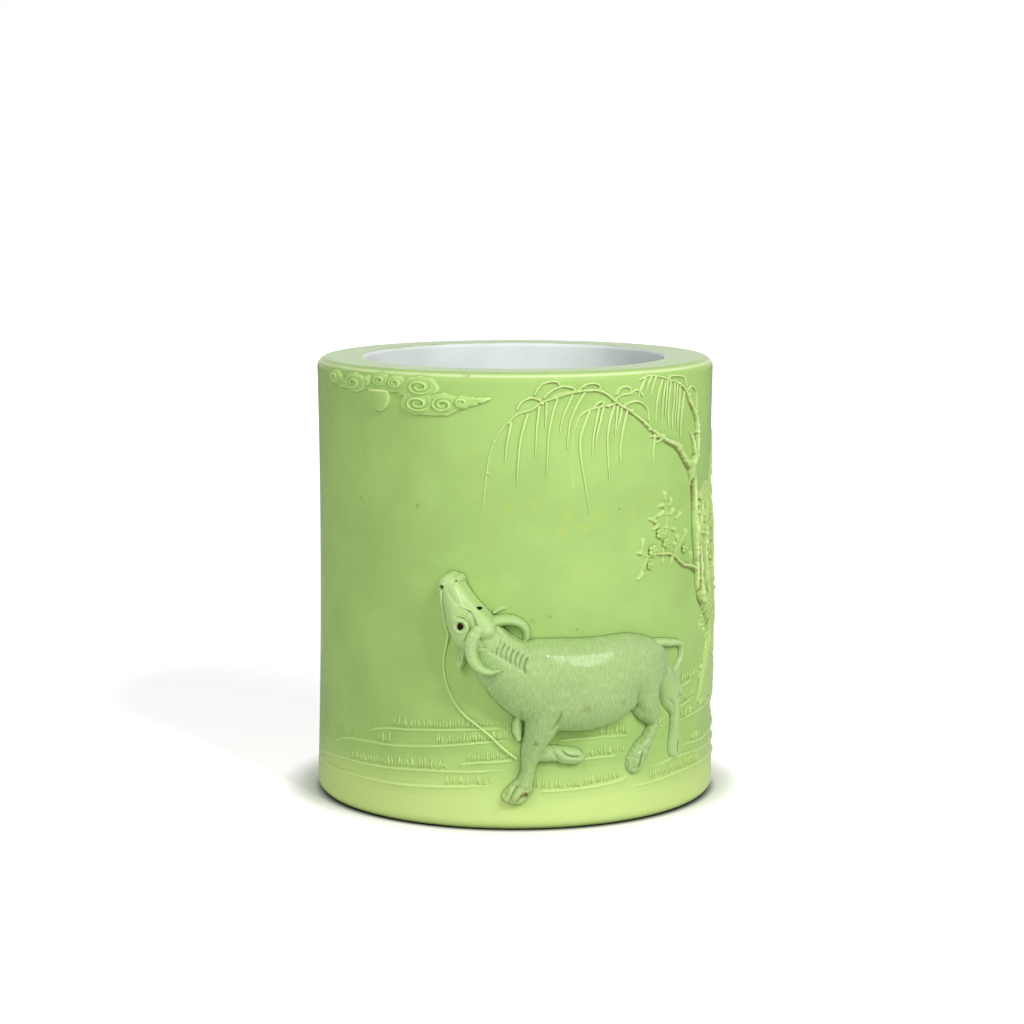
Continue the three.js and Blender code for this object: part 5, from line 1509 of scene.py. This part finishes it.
class Ground:
    """The grassy banks, their grass, and the mounds that the trees stand on."""

    banks: dict[str, list[Places]] = {
        "left": [
            [(-49, 24), (-44, 26.1), (-38, 27.3), (-30, 27.9), (-20, 28.7), (-10, 29.5), (-1.8, 29.9)],
            [(-68, 16.4), (-62, 19.6), (-55, 21.6), (-46, 22.3), (-36, 22.6), (-25, 23.6), (-16, 24.7),
             (-9, 25.7), (-1, 26.4)],
            [(-80, 12), (-72, 13.8), (-62, 15), (-50, 15.5), (-38, 15.9), (-25, 16.6), (-12, 17.2),
             (-1, 18.3)],
            [(-16.4, 18.7), (-12, 19.7), (-6, 20.2), (0, 20.8)],
            [(-88, 9), (-76, 10.6), (-64, 11), (-50, 11.4), (-35, 11.5), (-22, 12.2), (-12, 13),
             (-5, 13.2)],
        ],
        "middle": [
            [(10.6, 26.2), (20, 26.4), (27, 26.3), (34, 25.8)],
            [(18.6, 20.4), (24, 20.6), (29.6, 20.4)],
            [(5.4, 11.8), (12, 11.8), (20, 12.1), (28, 12.8), (34, 14.2)],
        ],
        "right": [
            [(52.6, 36.8), (57, 37.2), (61, 38)],
            [(51.8, 30.8), (56, 31.4), (61, 32.4)],
            [(52.4, 26.4), (58, 27.4), (66, 27.8), (76, 28.4), (88, 29.4), (100, 29.6), (112, 27)],
            [(51.6, 19.2), (58, 19.4), (66, 18.9), (76, 19.6), (90, 20.6), (104, 20.4), (120, 17.6)],
            [(37.6, 15.9), (44, 15.7), (50, 16.6), (58, 16.6), (68, 16), (80, 16.2), (94, 15.6),
             (106, 13.4)],
            [(30, 10.7), (38, 11), (48, 11.7), (60, 12.3), (74, 12), (88, 11.6), (102, 10.6), (116, 9)],
        ],
    }
    grass: dict[str, list[Places]] = {
        "left": [
            [(-36, 28.1), (-20, 29.3), (-2, 30.5)],
            [(-41, 23), (-37, 23.2)],
            [(-22, 24.4), (-10, 26), (-1.5, 27)],
            [(-53, 15.9), (-38, 16.5), (-19, 17.4)],
            [(-13, 20), (-1, 21.3)],
            [(-19, 13), (-7, 13.9)],
        ],
        "middle": [
            [(24, 26.9), (33, 26.6)],
            [(19, 21), (31, 21.2)],
            [(6, 12.4), (18, 12.6), (30, 13.8)],
        ],
        "right": [
            [(54, 37.6), (64, 38.6)],
            [(54, 31.8), (62, 32.8)],
            [(55, 27.4), (62, 28)],
            [(66.6, 28.4), (73, 28.8)],
            [(60, 19.8), (66, 19.5)],
            [(41, 11.9), (52, 12.6), (65, 12.8)],
            [(80, 29.3), (96, 30.2)],
            [(84, 20.8), (100, 21.2)],
        ],
    }
    mounds: dict[str, list[Places]] = {
        "tree_mound": [
            [(65.1, 30.6, 0.5, 0.7), (68, 35.5, 0.8, 1), (70.5, 39.5, 0.9, 1.1), (73.5, 42.9, 0.9, 1.2),
             (76.1, 46.5, 0.9, 1.3), (77.6, 50.2, 0.8, 1.2)],
            [(67.4, 31.4, 1.6, 0.6), (70.6, 36, 3, 0.8), (74.6, 40.5, 4, 0.9), (78, 45, 4, 1),
             (80, 50, 3, 1)],
            [(71, 32, 3, 0.6), (78, 34, 5, 0.8), (86, 34.4, 6, 0.9), (94, 33, 4.6, 0.8), (101, 31, 2, 0.5)],
            [(76, 39, 4, 0.8), (84, 41, 6, 1), (91, 39, 5, 0.9)],
        ],
        "back_mound": [
            [(86, 49, 1.6, 1.1), (90, 46, 2.8, 1.2), (95, 41.5, 3.6, 1.2), (100, 37, 3.4, 1),
             (106, 33, 2, 0.7), (111, 31, 0.7, 0.3)],
        ],
    }
    moss: Places = [
        (68.9, 53), (70.5, 51.5), (67.3, 52.5), (73.4, 48.9), (73.4, 45.9), (72.9, 44), (71.6, 41.6),
        (68.7, 39.8), (67.1, 38.1), (45.5, 28),
    ]

    def build(self) -> list[Patch]:
        """Makes every bank, tuft and mound, and gives the relief that glaze pools round."""
        for side, crests in self.banks.items():
            for i, crest in enumerate(crests):
                self.bank(f"{side}_bank_{i + 1}", crest)
        for seed, (side, rows) in enumerate(self.grass.items()):
            self.tufts(side, rows, 40 + seed)
        self.moss_dots()
        return [self.mound(name, lines) for name, lines in self.mounds.items()]

    def moss_dots(self) -> None:
        """Dots moss round the foot of the tree."""
        rng = np.random.default_rng(61)
        spots = []
        for girth, z in self.moss:
            spots.extend((girth + dg, z + dz, 0.1) for dg, dz in rng.normal(0, 0.75, (9, 2)))
        scattered("moss", scatter_tree("moss", moss_dot, 6, 0.2), spots, Palette.blade)

    def bank(self, node: str, crest: Places) -> None:
        """Models a bank: a crisp crest, and a slope that runs out below it.

        Args:
            node: The CAD node that it stands for.
            crest: Places along its crest.
        """
        line = smooth_path(crest, LINE_STEP)
        low, high = line[:, 1].min() - 5.5, line[:, 1].max() + 1.5
        patch = Patch((line[0, 0] - 1, low), (line[-1, 0] + 1, high), 0.7, 0.2)
        along = (patch.girth - line[0, 0]) / (line[-1, 0] - line[0, 0])
        fade = np.clip(np.minimum(along, 1 - along) * 9, 0, 1)
        below = np.interp(patch.girth, line[:, 0], line[:, 1]) - patch.z
        step = 1 / (1 + np.exp(-below / 0.16))
        ridge = 0.3 * np.exp(-(((below - 0.35) / 0.36) ** 2))
        slope = 0.5 * np.clip(1 - below / 4.6, 0, 1) ** 1.3
        patch.height = np.clip((ridge + slope) * step * fade, 0, None)
        patch.piece(f"grassy_{node}", Palette.bank, (node,))

    def tufts(self, side: str, rows: list[Places], seed: int) -> None:
        """Stands grass along the banks of one side.

        Args:
            side: The side.
            rows: Places along each row.
            seed: Seed of its spacing.
        """
        rng = np.random.default_rng(seed)
        spots = []
        for row in rows:
            line = smooth_path(row, 0.95)
            jitter = rng.uniform(-0.32, 0.32, (len(line), 2))
            spots.extend((*place, 0.1) for place in line[:, :2] + jitter)
        scattered(f"{side}_grass", scatter_tree("grass", blade, seed, 0.22), spots, Palette.blade)

    def mound(self, node: str, lines: list[Places]) -> Patch:
        """Models a mound of earth at the foot of a tree.

        Args:
            node: The CAD node that it stands for.
            lines: Its stations.

        Returns:
            The patch.
        """
        places = np.array([station[:2] for line in lines for station in line])
        patch = Patch(tuple(places.min(0) - 6), tuple(places.max(0) + 6), 0.25)
        for line in lines:
            patch.add(line)
        patch.roughen(0.35, 0.5, 51)
        patch.soften(0.16)
        patch.piece(f"mossy_{node}", Palette.relief, (node,), 0.6)
        return patch


@dataclass
class Sky:
    """The moon and the scrolled clouds.

    Attributes:
        moon: Girth and height of the moon's middle.
        moon_radius: Its radius.
        moon_top: Level at which a cloud hides it.
    """

    moon: tuple[float, float] = (-40.8, 122.1)
    moon_radius: float = 4.2
    moon_top: float = 124.2

    def build(self) -> list[Patch]:
        """Makes the moon and the clouds, and gives the relief that glaze pools round.

        Lobes are girth, z, half width and half height. So many of them, from the first, carry a scroll.
        """
        clouds = {
            "cloud_left": (
                [(-60.8, 126.2, 3.4, 2), (-51, 125.4, 4.7, 2.7), (-56, 124.9, 3.6, 1.4)],
                2,
            ),
            "cloud_middle": (
                [(-40.1, 126.8, 3.3, 2), (-34.6, 126.4, 3.1, 2.1), (-26.8, 125.6, 5.2, 2.9),
                 (-44.8, 126.2, 1.9, 1.7), (-40, 124.6, 7, 1.1), (-31.4, 123.9, 2.2, 1)],
                4,
            ),
            "cloud_lower": (
                [(-27.4, 120.9, 5.4, 3), (-20, 120.9, 4.4, 3), (-14.6, 121.7, 2.6, 1.8),
                 (-11.8, 122, 1.9, 1.2), (-9.4, 122.4, 1.6, 0.8), (-7.7, 122.8, 1, 0.4),
                 (-23.4, 118.9, 6, 1.1)],
                3,
            ),
        }
        return [self.disc(), *[self.cloud(name, *made) for name, made in clouds.items()]]

    def disc(self) -> Patch:
        """Models the moon as a low disc with a soft edge."""
        girth, z = self.moon
        patch = Patch((girth - 6, z - 6), (girth + 6, z + 6), 0.25)
        away = patch.away(girth, z)
        dome = 0.5 * np.clip(1 - (away / self.moon_radius) ** 2, 0, 1)
        patch.height = (0.95 + dome) / (1 + np.exp((away - self.moon_radius) / 0.14))
        patch.height[(away > self.moon_radius + 0.9) | (patch.z > self.moon_top)] = 0
        patch.piece("moon", Palette.cloud, ("moon_disc",))
        return patch

    def cloud(self, node: str, lobes: Places, scrolls: int) -> Patch:
        """Models a cloud: flat lobes with scroll lines that wind in over them.

        Args:
            node: The CAD node that it stands for.
            lobes: Its lobes.
            scrolls: How many of them carry a scroll.

        Returns:
            The patch.
        """
        places, sizes = np.hsplit(np.array(lobes), 2)
        low, high = (places - sizes).min(0) - 1, (places + sizes).max(0) + 1
        patch = Patch(tuple(low), (high[0], min(POT_HEIGHT - 0.6, high[1])), 0.17)
        for girth, z, wide, tall in lobes:
            turn = np.arctan2(patch.z - z, patch.girth - girth)
            away = np.hypot((patch.girth - girth) / wide, (patch.z - z) / tall)
            away *= 0.9 + 0.035 * np.cos(7 * turn + girth)
            plate = 0.62 * np.clip((1.02 - away) * 5, 0, 1) + 0.35 * np.sqrt(np.clip(1 - away**2, 0, 1))
            plate += 0.3 * np.exp(-(((away - 0.9) / 0.06) ** 2))
            patch.join(np.where(away < 1.03, plate, 0))
        turns = np.linspace(0, 3.9 * math.pi, 60)
        size = 0.74 - 0.62 * turns / turns[-1]
        for k, (girth, z, wide, tall) in enumerate(lobes[:scrolls]):
            angle = 0.6 + (turns if k % 2 else -turns)
            line = np.stack([girth + wide * size * np.cos(angle), z + tall * size * np.sin(angle)], 1)
            patch.crease(line, 0.34, -0.62)
        patch.soften(0.12)
        patch.piece(f"scrolled_{node}", Palette.cloud, (node,), 0.9)
        return patch


class Tether:
    """The rope from the buffalo's nose to the bank. Stations are girth, z and height off the wall."""

    line: Places = [
        (-18.2, 69.3, 8), (-18.5, 66, 6.4), (-18.6, 62.5, 4.4), (-18.7, 59, 2.8), (-18.6, 56, 1),
        (-19.3, 52.8, 0.3), (-20.1, 49, 0.2), (-20, 45, 0.2), (-18.8, 40.6, 0.2), (-16.6, 36.2, 0.2),
        (-13.6, 32.7, 0.4), (-10.2, 30.2, 0.7), (-7, 27.6, 0.7), (-4, 24.6, 0.7), (-2, 22.8, 0.6),
        (0.4, 20.9, 0.5),
    ]

    def build(self) -> None:
        """Makes the rope."""
        line = [(girth, z, 0.34, off) for girth, z, off in self.line]
        strands("tether", [line], Palette.frond, ("tether_rope",), 10)


@dataclass
class Studio:
    """The floor, the lamps, the white surround and the camera.

    Attributes:
        lens: Focal length of the camera.
        eye: Where the camera stands.
        tilt: How far it looks down, in degrees.
        world: Strength of the surround's light on the pot.
    """

    lens: float = 98.5
    eye: tuple[float, float, float] = (-0.0009, -0.8321, 0.2018)
    tilt: float = 8.14
    world: float = 0.17

    def build(self) -> None:
        """Sets the studio up."""
        scene = bpy.context.scene
        scene.view_settings.view_transform = "Standard"
        camera = bpy.data.objects.new("camera", bpy.data.cameras.new("camera"))
        camera.data.lens = self.lens
        camera.data.clip_start = 0.01
        camera.location = self.eye
        camera.rotation_euler = (math.radians(90 - self.tilt), 0, 0)
        scene.collection.objects.link(camera)
        scene.camera = camera
        self.lamp("key", (0.56, -0.58, 0.62), 0.42, 5.3)
        self.lamp("glint", (0.3, -0.6, 0.7), 0.05, 1.5)
        self.lamp("fill", (-0.46, -0.7, 0.7), 0.6, 4.7)
        self.surround()
        self.floor()

    def lamp(self, name: str, place: tuple[float, float, float], size: float, power: float) -> None:
        """Adds a soft lamp that faces the pot.

        Args:
            name: Its name.
            place: Where it hangs.
            size: Its width.
            power: Its power.
        """
        light = bpy.data.lights.new(name, "AREA")
        light.shape = "DISK"
        light.size = size
        light.energy = power
        lamp = bpy.data.objects.new(name, light)
        lamp.location = place
        aim = lamp.location.copy()
        aim.z -= POT_HEIGHT / 2 * MM
        lamp.rotation_euler = aim.to_track_quat("Z", "Y").to_euler()
        bpy.context.scene.collection.objects.link(lamp)

    def surround(self) -> None:
        """Makes the surround: white to rays that show it, and dim to rays that carry its light."""
        world = bpy.data.worlds.new("white_surround")
        bpy.context.scene.world = world
        world.use_nodes = True
        kit = Nodes(world.node_tree)
        path = kit.add("ShaderNodeLightPath").outputs
        either = kit.maths("MAXIMUM", path["Is Camera Ray"], path["Is Glossy Ray"])
        seen = kit.maths("MAXIMUM", either, path["Is Transmission Ray"])
        backdrop = world.node_tree.nodes["Background"].inputs
        kit.plug(backdrop["Strength"], kit.maths("MULTIPLY_ADD", seen, 1.0 - self.world, self.world))
        kit.plug(backdrop["Color"], linear((255, 255, 255)))

    def floor(self) -> None:
        """Makes the pale floor, which keeps the pot's shadow and carries a painted contact shadow close
        under the foot.
        """
        mesh = bpy.data.meshes.new("floor")
        reach = 6.0
        corners = [(-reach, -reach, 0), (reach, -reach, 0), (reach, reach, 0), (-reach, reach, 0)]
        mesh.from_pydata(corners, [], [(0, 1, 2, 3)])
        finish = bpy.data.materials.new("pale_floor")
        finish.use_nodes = True
        kit = Nodes(finish.node_tree)
        place = kit.add("ShaderNodeTexCoord").outputs["Object"]
        out = kit.add("ShaderNodeVectorMath", "LENGTH", (place,)).outputs["Value"]
        far = kit.maths("MULTIPLY", kit.band(out, 0.25, 1.0), 0.5)
        near = kit.maths("MULTIPLY_ADD", kit.band(out, 0.06, 0.074), 0.58, far)
        straight = kit.add("ShaderNodeLightPath").outputs["Is Camera Ray"]
        settings = {
            "Roughness": 0.9,
            "Specular IOR Level": 0.1,
            # Painted contact shadow: the floor's colour turns dark in a ring close under the foot.
            "Base Color": kit.mix(kit.band(out, 0.0575, 0.0615), (60, 66, 50), (247, 247, 246)),
            "Emission Color": linear((255, 255, 255)),
            "Emission Strength": kit.maths("MULTIPLY", straight, near),
        }
        shader = finish.node_tree.nodes["Principled BSDF"]
        for name, value in settings.items():
            kit.plug(shader.inputs[name], value)
        mesh.materials.append(finish)
        floor = bpy.data.objects.new("floor", mesh)
        bpy.context.scene.collection.objects.link(floor)


def main() -> None:
    """Builds the pot and the studio."""
    logging.basicConfig(level=logging.INFO, format="%(name)s: %(message)s")
    pools = [*Buffalo().build(), *Willow().build(), *Prunus().build(), *Sky().build(), *Ground().build()]
    Tether().build()
    Vessel().build(pools)
    Studio().build()


if __name__ == "__main__":
    main()
